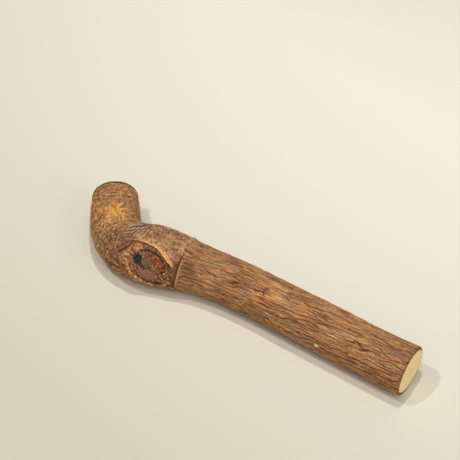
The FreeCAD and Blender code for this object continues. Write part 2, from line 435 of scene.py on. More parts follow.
def burlCrust(at):  # crusty netted bark
    b = barkShape
    netSize = np.array([1.35, 1, 1]) * b["netSize"]
    near, second, at.netNumber = cells((at.plain + 0.6 * at.ragged[..., None]) / netSize, 31)
    at.net = 1 - smooth(0.03, 0.26, second - near)
    dash = groove(noise(at.plain / np.array([4.5, 1.5, 1.5]), 33), 0.17)
    at.dash = dash * smooth(-0.2, 0.4, noise(at.plain / 5.0, 34))
    height = -b["netDepth"] * at.net - 0.4 * at.dash + b["lumpHeight"] * at.lump
    height = height + 0.25 * (at.netNumber - 0.5) * (1 - at.net)
    return height + 0.16 * at.mottle + 0.14 * at.grit + b["crustHeight"] * at.crust


def headWarts(at):  # warts and wrinkles, with rings close together near the sawn end
    b = barkShape
    near, second, at.wartNumber = cells((at.plain + 0.5 * at.ragged[..., None]) / b["wartSize"], 35)
    at.wart = smooth(0.72, 0.1, near) * smooth(0.15, 0.6, at.wartNumber)
    at.scaleGap = 1 - smooth(0.03, 0.24, second - near)
    at.wartiness = smooth(-0.4, 0.35, noise(at.plain / 13.0, 38))
    bent = at.plain + 1.6 * np.stack([at.lump, 0 * at.lump, 0 * at.lump], -1)
    wrinkle = groove(noise(bent / np.array([1.9, 9.0, 9.0]), 36), 0.2)
    ringed = smooth(15, 5, at.fromEdge)
    around = [1.3 * np.cos(at.angle), 1.3 * np.sin(at.angle)]
    rings = groove(noise(np.stack([(at.fromEdge + 0.5 * at.lump) / 2.0] + around, -1), 37), 0.22)
    at.wrinkle = np.maximum(wrinkle * (1 - 0.6 * ringed), rings * ringed)
    height = b["wartHeight"] * (at.wart - 0.3) * (0.3 + 0.7 * at.wartiness) * (1 - 0.6 * ringed)
    height = height - 0.12 * at.scaleGap + 0.34 * at.crust
    height = height - b["wrinkleDepth"] * at.wrinkle * (1.15 - 0.75 * at.wartiness + 0.3 * ringed)
    return height + 0.25 * at.lump + 0.14 * at.grit


def crotchFolds(at, height):  # the tight crotch, the folds round it, and the fan of folds over the wound
    b = barkShape
    aside = np.abs(arc(at.angle, b["crotchTurn"]))
    crotch = bump(at.fromFold - 1.0, 3.6) * bump(aside, 17)
    height = height - b["crotchDepth"] * crotch
    fanned = (at.fromFold + 0.7 * at.lump) / (0.55 + 0.032 * aside)
    at.foldZone = bump(fanned / 7.5, 1.0) * smooth(42, 30, aside)
    at.folds = np.cos(2 * math.pi * fanned / b["foldSpacing"])
    height = height * (1 - 0.6 * at.foldZone) + b["foldDepth"] * at.folds * at.foldZone
    left = -(at.right + 14.0)
    up = at.up - 23.0 + 0.3 * left
    fan = smooth(-2.5, 1.5, left) * smooth(18, 11, left) * bump(up / (2.4 + 0.26 * np.maximum(left, 0)), 1.0)
    at.fan = fan * smooth(-12, -2, at.out)
    waves = 2 * math.pi * (up + 0.35 * at.ragged) / (1.3 + 0.05 * left)
    at.fanFolds = np.cos(waves + 1.2 * at.lump + 0.8 * at.mottle)
    return height * (1 - 0.6 * at.fan) + b["fanDepth"] * at.fanFolds * at.fan


def woundSeams(at, height):  # the seam down from the wound's left tip, and a short one beside it
    b = barkShape
    right, up = at.right + 0.35 * at.ragged, at.up + 0.35 * at.mottle
    at.seamOff, share = strokeDistance(right, up, wound["seamPath"])
    at.seamZone = at.front * smooth(1.0, 0.75, share)
    at.seam = bump(at.seamOff, 0.85) * at.seamZone
    height = height * (1 - 0.5 * bump(at.seamOff, 3.0) * at.seamZone) - b["seamDepth"] * at.seam
    height = height + 0.5 * bump(at.seamOff - 2.0, 1.1) * at.seamZone
    at.shortSeamOff = strokeDistance(at.right + 0.3 * at.ragged, at.up, wound["shortSeamPath"])[0]
    return height - b["shortSeamDepth"] * bump(at.shortSeamOff, 0.6) * at.front


def growthCrack(at, height):  # the crack round the branch, open on the wound's side, and the step along it
    b = barkShape
    signed = (at.turned + 180) % 360 - 180
    at.open = 0.12 + 0.88 * smooth(-42, -26, signed) * smooth(78, 54, signed)
    at.ringCrack = bump(at.fromCrack - 0.5 + 0.3 * at.ragged, 0.8)
    height = height - b["ringCrackDepth"] * at.ringCrack * at.open
    height = height + b["ringStep"] * bump(at.fromCrack - 2.6, 2.4) * (0.7 + 0.5 * at.ragged)
    top = bump(arc(at.angle, b["topStepTurn"]), 13) * (1 + 0.5 * at.mottle)
    height = height + b["topStep"] * top * smooth(-0.4, 0.8, at.fromCrack) * smooth(9, 2, at.fromCrack)
    return height + 0.3 * bump(at.fromCrack + 1.6, 1.4) * (0.5 + at.ragged) * at.open


def woundBorder(at, height):  # swollen above the wound, crumbling along its lower rim
    border = at.front * bump(at.inside + 2.4, wound["swellWidth"] / 2) * smooth(1.0, -0.5, at.inside)
    upper = smooth(-4, 6, at.up + 0.3 * at.right)
    height = height * (1 - 0.35 * border) + wound["swell"] * border * (0.25 + 0.75 * upper)
    rimOff = strokeDistance(at.right, at.up, wound["rimPath"])[0]
    at.rim = at.front * bump(rimOff, 2.2) * smooth(0.6, -0.6, at.inside)
    at.rimNear = cells(at.plain / 1.7, 55)[0]
    return height + at.rim * 0.6 * smooth(0.6, 0.1, at.rimNear)


def barkMarks(at, height):  # an old scar, a smooth lens, small chips and the golden star
    scarRun, scarTurn, scarSize = marks["scar"]
    ahead, aside = at.run - scarRun, arc(at.angle, scarTurn)
    off = np.hypot(ahead * 1.1, aside)
    at.scar = bump(off - scarSize * 0.62, 0.55) * smooth(-1.5, 1.5, ahead + 0.2 * aside)
    height = height - 1.1 * at.scar - 0.35 * bump(off, 1.4)
    lensRun, lensTurn = marks["lens"]
    ahead = at.run - lensRun
    at.lens = bump(ahead, 8.5) * bump(arc(at.angle, lensTurn) + 0.05 * ahead, 3.4)
    height = height * (1 - 0.8 * at.lens) + 0.4 * at.lens
    at.pale, at.goldChips = np.zeros(at.run.shape), np.zeros(at.run.shape)
    for chipRun, chipTurn, chipSize in marks["chips"]:
        off = np.hypot((at.run - chipRun) * 0.7, arc(at.angle, chipTurn)) + 0.45 * chipSize * at.mottle
        chip = bump(off, chipSize * 0.75)
        at.pale = np.maximum(at.pale, smooth(0.4, 0.8, chip) * smooth(1.0, 1.6, chipSize))
        at.goldChips = np.maximum(at.goldChips, smooth(0.3, 0.7, chip) * smooth(1.6, 1.0, chipSize))
        height = height + 0.25 * chip
    starRun, starTurn, starSize = marks["goldStar"]
    ahead, aside = at.run - starRun, arc(at.angle, starTurn)
    off, ray = np.hypot(ahead, aside), np.arctan2(aside, ahead)
    at.star = bump(off, starSize * 0.8)
    at.starEnds = smooth(0.9, 0.4, np.abs(ahead) / starSize)
    at.spokes = noise(np.stack([np.cos(ray) * 5.0, np.sin(ray) * 5.0, off / 12.0], -1), 51)
    rays = 0.6 * at.spokes * smooth(0.5, 3, off) - 0.8 * bump(off, 1.3) + 0.25 * at.wart
    return height * (1 - 0.4 * at.star) + at.star * rays


def sawnEdges(at, height):  # rounded edges at the two saw cuts
    b = barkShape
    head = smooth(b["edgeLength"], 0, at.fromEdge)
    height = height * (1 - 0.6 * head) - b["edgeDrop"] * head * head
    handle = smooth(b["sawLength"], 0, at.run)
    return height * (1 - 0.55 * handle) - b["sawDrop"] * handle * handle


def darkMask(at):  # cracks and hollows painted darker: partly the bark's own darker cracks, partly painted shade
    onHandle = np.clip(at.fissure * 0.9 + 0.5 * at.fine + 0.2 * at.crossing, 0, 1)
    onBurl = np.clip(at.net * 0.3 + at.dash * 0.8 + 0.7 * smooth(0.15, 0.7, -at.crust), 0, 1)
    onHead = np.clip(at.wrinkle * 0.8 + 0.15 * at.scaleGap + 0.6 * smooth(0.2, 0.8, -at.crust), 0, 1)
    deep = (1 - at.burl) * onHandle + at.burl * ((1 - at.head) * onBurl + at.head * onHead)
    deep = deep * (1 - 0.85 * at.lens) * (1 - 0.7 * at.fan)
    deep = deep + at.seam + 0.8 * bump(at.shortSeamOff, 0.7) * at.front
    deep = deep + at.ringCrack * at.open + 0.95 * at.scar
    # the troughs of the folds and of the fan painted darker: painted shade
    deep = deep + 0.7 * at.foldZone * smooth(0.2, -0.9, at.folds)
    deep = deep + 0.8 * at.fan * smooth(0.1, -0.8, at.fanFolds)
    deep = deep + at.besideWound * (0.78 + 0.5 * at.mottle)
    deep = deep + at.neck * (0.4 + 0.6 * smooth(0, 0.5, -at.thread))
    border = at.front * at.burl * (1 - at.onWound) * smooth(-16, -20, at.right) * smooth(20, 14, at.up) * 0.9
    deep = np.clip(deep + border * (0.3 + 0.5 * smooth(-0.1, 0.5, -at.crust)), 0, 1)
    starCracks = 0.45 * at.star * smooth(0.0, -0.5, at.spokes + 0.5 * at.mottle)
    return np.clip(deep * (1 - 0.6 * at.star) + starCracks, 0, 1)


def plumMask(at, lilac):  # purplish bark
    plum = smooth(0.2, 0.62, noise(at.plain / np.array([22.0, 6.0, 6.0]), 61)) * (1 - 0.6 * at.burl) * 0.7
    plum = np.maximum(plum, np.maximum(at.foldZone * 0.6, at.besideWound))
    plum = np.maximum(plum, at.neck)
    plum = plum * (1 - lilac)
    plum = np.maximum(plum, bump(at.seamOff + 0.8, 2.6) * at.seamZone * 0.9)
    byCrack = at.burl * (1 - at.head) * bump(at.fromCrack - 3.5, 4.5) * smooth(75, 40, at.turned % 359)
    return np.clip(np.maximum(plum, byCrack * smooth(-0.5, 0.2, at.ragged + 0.4) * 0.7), 0, 1)


def goldMask(at):  # golden bark, strongest in the star
    gold = smooth(0.15, 0.6, noise(at.plain / np.array([14.0, 6.0, 6.0]), 62)) * 0.4
    flecks = smooth(0.35, 0.6, noise(at.plain / np.array([2.6, 1.3, 1.3]), 65))
    gold = np.maximum(gold, flecks * (0.45 + 0.5 * smooth(-0.1, 0.5, noise(at.plain / 12.0, 66))))
    starGrain = 0.8 * at.spokes + 0.45 * at.mottle + 0.35 * at.crust
    gold = np.maximum(gold, at.star * at.starEnds * smooth(-0.35, 0.3, starGrain) * 2.2)
    gold = np.maximum(gold * (1 - 0.45 * at.head), at.head * at.wart * at.wartiness * 0.4)
    gold = np.maximum(gold, at.rim * smooth(0.55, 0.3, at.rimNear) * 0.9)
    gold = np.maximum(gold, np.maximum(at.lens * 0.35, at.goldChips * 1.3))
    leftOfWound = at.front * bump(at.right + 21, 5.5) * smooth(-14, -6, at.up) * smooth(19, 13, at.up)
    leftOfWound = leftOfWound * at.burl * smooth(-0.1, 0.5, at.mottle) * 0.9
    return np.clip(np.maximum(gold, leftOfWound), 0, 1.8)


def greyMask(at):  # weathered bark
    grey = smooth(-0.1, 0.5, noise(at.plain / np.array([18.0, 8.0, 8.0]), 64) + 0.25 * at.nearBurl) * 0.55
    grey = np.maximum(grey, np.maximum(at.neck, 0.8 * at.head * smooth(0.0, 0.5, noise(at.plain / 9.0, 67))))
    overWound = at.burl * (1 - at.head) * bump(arc(at.angle, 78), 15) * bump(at.fromCrack - 14, 13) * 0.9
    return np.clip(np.maximum(grey, overWound), 0, 1)


def barkRelief(run, angle, points):  # height over the plain surface in mm, and colour masks
    at = barkPlaces(run, angle, points)
    onHandle, onBurl, onHead = handlePlates(at), burlCrust(at), headWarts(at)
    height = (1 - at.burl) * onHandle + at.burl * ((1 - at.head) * onBurl + at.head * onHead)
    for carve in (crotchFolds, woundSeams, growthCrack, woundBorder, barkMarks, sawnEdges):
        height = carve(at, height)
    at.besideWound = (at.front * smooth(12.0, 14.5, at.right) * smooth(-21, -15, at.up) * smooth(11, 5, at.up)
                      * smooth(0.3, 1.6, at.fromCrack) * smooth(-0.9, -0.1, at.ragged))
    at.neck = 0.8 * bump(at.fromCrack + 8, 7.5) * bump(arc(at.angle, 42), 9) * (1 - at.burl)
    # the fan's fold crests painted lighter lilac: partly the bark's own lilac-grey, partly painted highlight
    lilac = at.fan * smooth(-0.6, 0.5, at.fanFolds)
    tint = (1 - at.burl) * at.plate + at.burl * ((1 - at.head) * at.netNumber + at.head * at.wartNumber)
    # top: raised bark painted lighter and low bark darker: painted light and shade
    masks = {"deep": darkMask(at), "plum": plumMask(at, lilac), "gold": goldMask(at), "grey": greyMask(at),
             "top": np.clip(0.5 + 0.75 * height, 0, 1), "tint": tint, "pale": at.pale, "lilac": lilac,
             "edgeDark": smooth(2.5, 1.7, at.fromEdge + 0.3 * at.ragged) * 0.9, "onWound": at.onWound}
    return height, masks


def newMesh(name, points, quads, replaces, material, masks=None, tris=None):
    used = np.zeros(len(points), bool)
    used[quads.ravel()] = True
    if tris is not None:
        used[tris.ravel()] = True
    remap = np.cumsum(used) - 1
    points, quads = points[used], remap[quads]
    corner = quads.ravel()
    starts, sizes = np.arange(len(quads)) * 4, np.full(len(quads), 4)
    if tris is not None:
        tris = remap[tris]
        starts = np.concatenate([starts, len(corner) + np.arange(len(tris)) * 3])
        sizes = np.concatenate([sizes, np.full(len(tris), 3)])
        corner = np.concatenate([corner, tris.ravel()])
    mesh = bpy.data.meshes.new(name)
    mesh.vertices.add(len(points))
    mesh.vertices.foreach_set("co", points.astype(np.float32).ravel())
    mesh.loops.add(len(corner))
    mesh.loops.foreach_set("vertex_index", corner.astype(np.int32))
    mesh.polygons.add(len(starts))
    mesh.polygons.foreach_set("loop_start", starts.astype(np.int32))
    mesh.polygons.foreach_set("loop_total", sizes.astype(np.int32))
    mesh.polygons.foreach_set("use_smooth", np.ones(len(starts), bool))
    mesh.update(calc_edges=True)
    for key, values in (masks or {}).items():
        if values.ndim == 2:
            layer = mesh.attributes.new(key, "FLOAT_VECTOR", "POINT")
            layer.data.foreach_set("vector", values[used].astype(np.float32).ravel())
        else:
            layer = mesh.attributes.new(key, "FLOAT", "POINT")
            layer.data.foreach_set("value", values[used].astype(np.float32))
    mesh.validate()
    return addPiece(name, mesh, replaces, material)


def addPiece(name, mesh, replaces, material):
    piece = bpy.data.objects.new(name, mesh)
    bpy.context.scene.collection.objects.link(piece)
    mesh.materials.append(material)
    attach(piece, "root")
    if replaces:
        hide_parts(*replaces)
    print("made", name, len(mesh.polygons), "faces")
    return piece


def ringQuads(rowA, rowB):  # quads between two closed rings of vertex numbers
    return np.stack([rowA, np.roll(rowA, -1), np.roll(rowB, -1), rowB], -1)


def fanTris(row, tip):  # triangles between a closed ring and one vertex
    return np.stack([row, np.full(len(row), tip), np.roll(row, -1)], -1)


def grainGroup():  # grain that runs with the bark: streaks, mottling and a fine height
    group = bpy.data.node_groups.new("barkGrain", "ShaderNodeTree")
    face = group.interface
    face.new_socket("Flow", in_out="INPUT", socket_type="NodeSocketVector")
    for name, value in (("Along", 220.0), ("Across", 1400.0), ("Roughen", 0.6)):
        face.new_socket(name, in_out="INPUT", socket_type="NodeSocketFloat").default_value = value
    for name in ("Streak", "Mottle", "Height"):
        face.new_socket(name, in_out="OUTPUT", socket_type="NodeSocketFloat")
    n, link = group.nodes, group.links.new
    start, end = n.new("NodeGroupInput"), n.new("NodeGroupOutput")
    scale = n.new("ShaderNodeCombineXYZ")
    link(start.outputs["Along"], scale.inputs["X"])
    link(start.outputs["Across"], scale.inputs["Y"])
    link(start.outputs["Across"], scale.inputs["Z"])
    stretch = n.new("ShaderNodeVectorMath")
    stretch.operation = "MULTIPLY"
    link(start.outputs["Flow"], stretch.inputs[0])
    link(scale.outputs[0], stretch.inputs[1])
    streak = n.new("ShaderNodeTexNoise")
    streak.inputs["Scale"].default_value = 1.0
    streak.inputs["Detail"].default_value = 5.0
    link(stretch.outputs[0], streak.inputs["Vector"])
    link(start.outputs["Roughen"], streak.inputs["Roughness"])
    mottle = n.new("ShaderNodeTexNoise")
    mottle.inputs["Scale"].default_value = 620.0
    mottle.inputs["Detail"].default_value = 4.0
    link(start.outputs["Flow"], mottle.inputs["Vector"])
    grit = n.new("ShaderNodeTexNoise")
    grit.inputs["Scale"].default_value = 2600.0
    grit.inputs["Detail"].default_value = 3.0
    link(start.outputs["Flow"], grit.inputs["Vector"])
    both = n.new("ShaderNodeMath")
    both.operation = "MULTIPLY_ADD"
    both.inputs[1].default_value = 0.6
    link(grit.outputs["Fac"], both.inputs[0])
    link(streak.outputs["Fac"], both.inputs[2])
    link(streak.outputs["Fac"], end.inputs["Streak"])
    link(mottle.outputs["Fac"], end.inputs["Mottle"])
    link(both.outputs[0], end.inputs["Height"])
    return group


barkGrain = grainGroup()


def srgb(*seen):  # red, green and blue as they look on screen, 0 to 255
    return tuple(c / 255 / 12.92 if c <= 10 else ((c / 255 + 0.055) / 1.055) ** 2.4 for c in seen) + (1.0,)


class Sheet:  # short helpers for one material's nodes
    def __init__(self, name):
        self.material = bpy.data.materials.new(name)
        self.material.use_nodes = True
        self.nodes = self.material.node_tree.nodes
        self.link = self.material.node_tree.links.new
        self.shader = self.nodes["Principled BSDF"]

    def mask(self, name):
        node = self.nodes.new("ShaderNodeAttribute")
        node.attribute_name = name
        return node.outputs["Vector"] if name == "flow" else node.outputs["Fac"]

    def math(self, operation, a, b=None, c=None):
        node = self.nodes.new("ShaderNodeMath")
        node.operation = operation
        for socket, value in zip(node.inputs, (a, b, c)):
            if isinstance(value, (int, float)):
                socket.default_value = value
            elif value is not None:
                self.link(value, socket)
        return node.outputs[0]

    def mix(self, factor, a, b):
        node = self.nodes.new("ShaderNodeMix")
        node.data_type = "RGBA"
        node.clamp_factor = True
        self.put(node.inputs[0], factor)
        self.put(node.inputs[6], a)
        self.put(node.inputs[7], b)
        return node.outputs[2]

    def put(self, socket, value):
        if isinstance(value, (int, float, tuple)):
            socket.default_value = value
        else:
            self.link(value, socket)

    def ramp(self, factor, stops):
        node = self.nodes.new("ShaderNodeValToRGB")
        while len(node.color_ramp.elements) < len(stops):
            node.color_ramp.elements.new(0.5)
        for element, (place, colour) in zip(node.color_ramp.elements, stops):
            element.position = place
            element.color = colour
        self.put(node.inputs[0], factor)
        return node.outputs[0]

    def group(self, tree, **values):
        node = self.nodes.new("ShaderNodeGroup")
        node.node_tree = tree
        for key, value in values.items():
            self.put(node.inputs[key], value)
        return node.outputs

    def bump(self, height, strength, distance):
        node = self.nodes.new("ShaderNodeBump")
        node.inputs["Strength"].default_value = strength
        node.inputs["Distance"].default_value = distance
        self.put(node.inputs["Height"], height)
        self.link(node.outputs[0], self.shader.inputs["Normal"])


barkColours = {
    "low": srgb(140, 92, 54), "body": srgb(182, 129, 82), "high": srgb(208, 158, 110),
    # deep: the colour of the painted shade in cracks and hollows, partly the bark's own darker cracks
    "crest": srgb(240, 198, 146), "deep": srgb(80, 42, 25), "plum": srgb(126, 86, 76),
    "gold": srgb(240, 166, 70), "grey": srgb(152, 128, 96), "rust": srgb(186, 112, 56),
    "rose": srgb(206, 154, 122), "pale": srgb(252, 228, 180), "edge": srgb(80, 56, 42),
    "lilac": srgb(184, 158, 150),
}
handleLook = {"along": 70.0, "across": 850.0, "streaks": 1.0, "specks": 0.5, "low": srgb(112, 70, 38),
              "body": srgb(154, 106, 64), "high": srgb(188, 140, 96), "crest": srgb(238, 194, 146)}
burlLook = {"along": 420.0, "across": 900.0, "streaks": 1.1, "specks": 1.7, "low": srgb(124, 82, 50),
            "body": srgb(182, 132, 84), "crest": srgb(224, 178, 128), "gold": srgb(224, 152, 70)}
headLook = {"along": 620.0, "across": 760.0, "streaks": 1.1, "specks": 1.6, "low": srgb(140, 92, 52),
            "body": srgb(198, 145, 86), "high": srgb(224, 172, 112), "gold": srgb(250, 176, 72)}


def barkMaterial(name, look):
    c = dict(barkColours, **look)
    s = Sheet(name)
    grain = s.group(barkGrain, Flow=s.mask("flow"), Along=c["along"], Across=c["across"])
    tone = s.math("MULTIPLY_ADD", s.math("SUBTRACT", grain["Streak"], 0.5), c["streaks"], 0.25)
    # the top mask lightens raised bark and darkens low bark: painted light and shade
    tone = s.math("MULTIPLY_ADD", s.mask("top"), 0.5, tone)
    tone = s.math("MULTIPLY_ADD", s.math("SUBTRACT", grain["Mottle"], 0.5), c["specks"], tone)
    colour = s.ramp(tone, [(0.26, c["low"]), (0.45, c["body"]), (0.63, c["high"]), (0.84, c["crest"])])
    amounts = {
        "rose": s.math("MULTIPLY", s.math("SUBTRACT", s.mask("tint"), 0.5), 0.9),
        "rust": s.math("MULTIPLY", s.math("SUBTRACT", 0.38, s.mask("tint")), 0.9),
        "grey": s.math("MULTIPLY", s.mask("grey"), s.math("MULTIPLY_ADD", grain["Streak"], 1.1, 0.05)),
        "plum": s.math("MULTIPLY", s.mask("plum"), s.math("MULTIPLY_ADD", grain["Mottle"], 0.9, 0.15)),
        "gold": s.math("MULTIPLY", s.mask("gold"), s.math("MULTIPLY", grain["Streak"], 1.2)),
        "lilac": s.math("MULTIPLY", s.mask("lilac"), 0.8),
        # deep: painted shade in the cracks and hollows, partly the bark's own darker colour there
        "deep": s.math("MULTIPLY", s.mask("deep"), 0.8),
        "pale": s.mask("pale"),
        "edge": s.mask("edgeDark"),
    }
    for key, amount in amounts.items():
        colour = s.mix(amount, colour, c[key])
    s.link(colour, s.shader.inputs["Base Color"])
    s.link(s.math("MULTIPLY_ADD", grain["Mottle"], 0.25, 0.64), s.shader.inputs["Roughness"])
    s.shader.inputs["Specular IOR Level"].default_value = 0.3
    s.bump(grain["Height"], 0.75, 0.0007)
    return s.material


def skin(run, angle):  # the rough outside of the bark, and its masks
    point, out = spoke(run, angle)
    radius = readTable(barkTable, run, angle)
    plainPoints = point + out * radius[..., None]
    height, masks = barkRelief(run, angle, plainPoints)
    thin = readTable(bastTable, run, angle)
    height = np.maximum(height * mm, thin - radius + 0.35 * mm)   # never through to the inner bark
    masks["flow"] = np.stack([run, radius * np.cos(angle), radius * np.sin(angle)], -1)
    return point + out * (radius + height)[..., None], masks


def barkShell(name, low, high, rows, cols, innerEvery, slot, material, holed=False):  # a closed sleeve
    angle = np.arange(cols) * 2 * math.pi / cols
    share = np.linspace(0, 1, rows + 1)
    run = low(angle)[None] + (high(angle) - low(angle))[None] * share[:, None]
    around = np.broadcast_to(angle, run.shape)
    outer, masks = skin(run, around)
    keepRows = list(range(0, rows, innerEvery)) + [rows]
    point, out = spoke(run[keepRows], around[keepRows])
    inner = point + out * readTable(bastTable, run[keepRows], around[keepRows])[..., None]
    grid = np.arange((rows + 1) * cols).reshape(rows + 1, cols)
    innerGrid = grid.size + np.arange(len(keepRows) * cols).reshape(-1, cols)
    rimSteps = (0.25, 0.5, 0.75)     # rough edges between outside and inside
    points, quads = [outer.reshape(-1, 3), inner.reshape(-1, 3)], []
    nextFree = grid.size + innerGrid.size
    for end in (0, -1):
        rings = [grid[end]]
        for t in rimSteps:
            edge = outer[end] * (1 - t) + inner[end] * t
            rough = 0.12 * mm * noise(edge / (0.7 * mm), 71 - end)[:, None]
            points.append(edge + along(run[end])[1] * rough * (1 if end else -1))
            rings.append(nextFree + np.arange(cols))
            nextFree += cols
        rings.append(innerGrid[end])
        for a, b in zip(rings, rings[1:]):
            quads.append(ringQuads(a, b) if end else ringQuads(b, a))
    for i in range(rows):
        quads.append(ringQuads(grid[i], grid[i + 1]))
    for i in range(len(keepRows) - 1):
        quads.append(ringQuads(innerGrid[i + 1], innerGrid[i]))
    flat = {}
    for key, values in masks.items():
        tail = values.shape[2:]
        body = [values.reshape((-1,) + tail), values[keepRows].reshape((-1,) + tail)]
        body += [values[0]] * len(rimSteps) + [values[-1]] * len(rimSteps)
        flat[key] = np.concatenate(body)
    quads = np.concatenate(quads)
    if holed:
        quads = cutHole(quads, flat["onWound"], grid, innerGrid)
    return newMesh(name, np.concatenate(points), quads, [slot], material, flat)


def cutHole(quads, onWound, grid, innerGrid):  # opens the bark over the wound and walls the edge
    rows, cols = len(grid) - 1, grid.shape[1]
    gone = onWound[:grid.size].reshape(rows + 1, cols) > 0.5
    beside = np.roll(gone, -1, 1)
    faceGone = gone[:-1] & gone[1:] & beside[:-1] & beside[1:]
    outerQuads, innerQuads, walls = [], [], []
    for i in range(rows):
        outerQuads.append(ringQuads(grid[i], grid[i + 1])[~faceGone[i]])
        innerQuads.append(ringQuads(innerGrid[i + 1], innerGrid[i])[~faceGone[i]])
    for i, j in zip(*np.nonzero(faceGone)):
        k = (j + 1) % cols
        sides = (((i, j), (i, k), (i - 1, j)), ((i, k), (i + 1, k), (i, k)),
                 ((i + 1, k), (i + 1, j), (i + 1, j)), ((i + 1, j), (i, j), (i, (j - 1) % cols)))
        for a, b, (ni, nj) in sides:
            if 0 <= ni < rows and not faceGone[ni, nj]:
                walls.append([grid[a], grid[b], innerGrid[b], innerGrid[a]])
    rims = quads[: len(quads) - rows * cols * 2]
    return np.concatenate([rims, np.concatenate(outerQuads), np.concatenate(innerQuads), np.array(walls)])


barkShell("handleBark", lambda a: 0 * a + 0.02 * mm, crackAt, 200, 430, 10, "handle_bark",
          barkMaterial("handleBarkFinish", handleLook))
barkShell("burlBark", crackAt, foldAt, 124, 320, 1, "burl_bark",
          barkMaterial("burlBarkFinish", burlLook), holed=True)
barkShell("headBark", foldAt, lambda a: 0 * a + bareWood, 210, 350, 7, "head_bark",
          barkMaterial("headBarkFinish", headLook))


def locate(points):  # where a point lies along and round the middle line, and how far from it
    run = np.full(points.shape[:-1], woundRun) + ((points - stubFoot) @ -knotRight)
    for _ in range(6):
        middle, travel = along(np.clip(run, 0, length))
        run = np.clip(run + ((points - middle) * travel).sum(-1), 0, length)
    middle, travel = along(run)
    side = unit(np.stack([-travel[..., 1], travel[..., 0], 0 * travel[..., 0]], -1))
    up = np.cross(travel, side)
    rel = points - middle
    return run, np.arctan2((rel * up).sum(-1), (rel * side).sum(-1)), np.linalg.norm(rel, axis=-1)


def inWound(x, y, out):  # from the wound's own millimetres to the scene
    x, y, out = (np.asarray(v, float)[..., None] * mm for v in (x, y, out))
    return stubFoot + knotRight * x + knotUp * y + knotOut * out


runs = np.linspace(0, length, 1200)
woundRun = runs[np.argmin(np.linalg.norm(along(runs)[0] - stubFoot, axis=1))]


def overBark(x, y):  # how far out the plain bark lies over a place in the wound's plane
    low, high = np.full(x.shape, -2.0), np.full(x.shape, 30.0)
    for _ in range(16):
        half = (low + high) / 2
        run, angle, radius = locate(inWound(x, y, half))
        outside = radius > readTable(barkTable, run, angle)
        low, high = np.where(outside, low, half), np.where(outside, half, high)
    return (low + high) / 2


hollows = {  # right, up, half width, half height in mm, turn in degrees, depth in mm, how blue-black the painted shade inside is
    "rotHole": (-11.4, 1.6, 3.2, 4.6, 12, 4.5, 1.0),
    "holeTail": (-6.2, -3.0, 3.6, 1.3, -30, 1.2, 0.45),
    "blackPit": (11.2, -0.6, 1.5, 2.2, -30, 2.6, 0.0),
    "lowerPit": (9.9, -5.0, 1.0, 1.9, -10, 2.0, 0.0),
    "rimPit": (5.6, -15.6, 2.2, 1.3, 10, 1.8, 0.0),
    "crumbPit": (15.0, 3.0, 1.1, 2.0, 20, 1.5, 0.0),
}
floorShape = {
    "level": -1.3, "bandLevel": -1.9, "bandSwell": 1.35, "lineDepth": 1.1, "calmLevel": -0.55,
    "crackDepth": 1.1,
    "innerLine": [(-13.5, 8.0), (-7.0, 10.2), (-0.4, 9.8), (4.8, 8.0), (8.8, 5.2), (10.8, 1.8)],
    "rimCrack": [(-17.2, -5.2), (-13.8, -9.9), (-8.9, -13.9), (-2.6, -17.0), (4.0, -17.8), (10.5, -15.6)],
    "skirt": 3.2,  # how far the pieces reach in under the bark's surface
}


def digHollows(x, y, height, rough):  # returns the height with its pits, and how dark and how blue they are painted: painted shade in the pits
    dark, blue = np.zeros(x.shape), np.zeros(x.shape)
    for middleX, middleY, wide, high, turn, depth, tint in hollows.values():
        c, q = math.cos(math.radians(turn)), math.sin(math.radians(turn))
        u = ((x - middleX) * c + (y - middleY) * q) / wide
        v = ((y - middleY) * c - (x - middleX) * q) / high
        amount = smooth(1.3, 0.62, np.hypot(u, v) + rough)
        height = height * (1 - amount) - depth * amount
        dark = np.maximum(dark, amount)
        blue = np.maximum(blue, amount * tint)
    return height, dark, blue


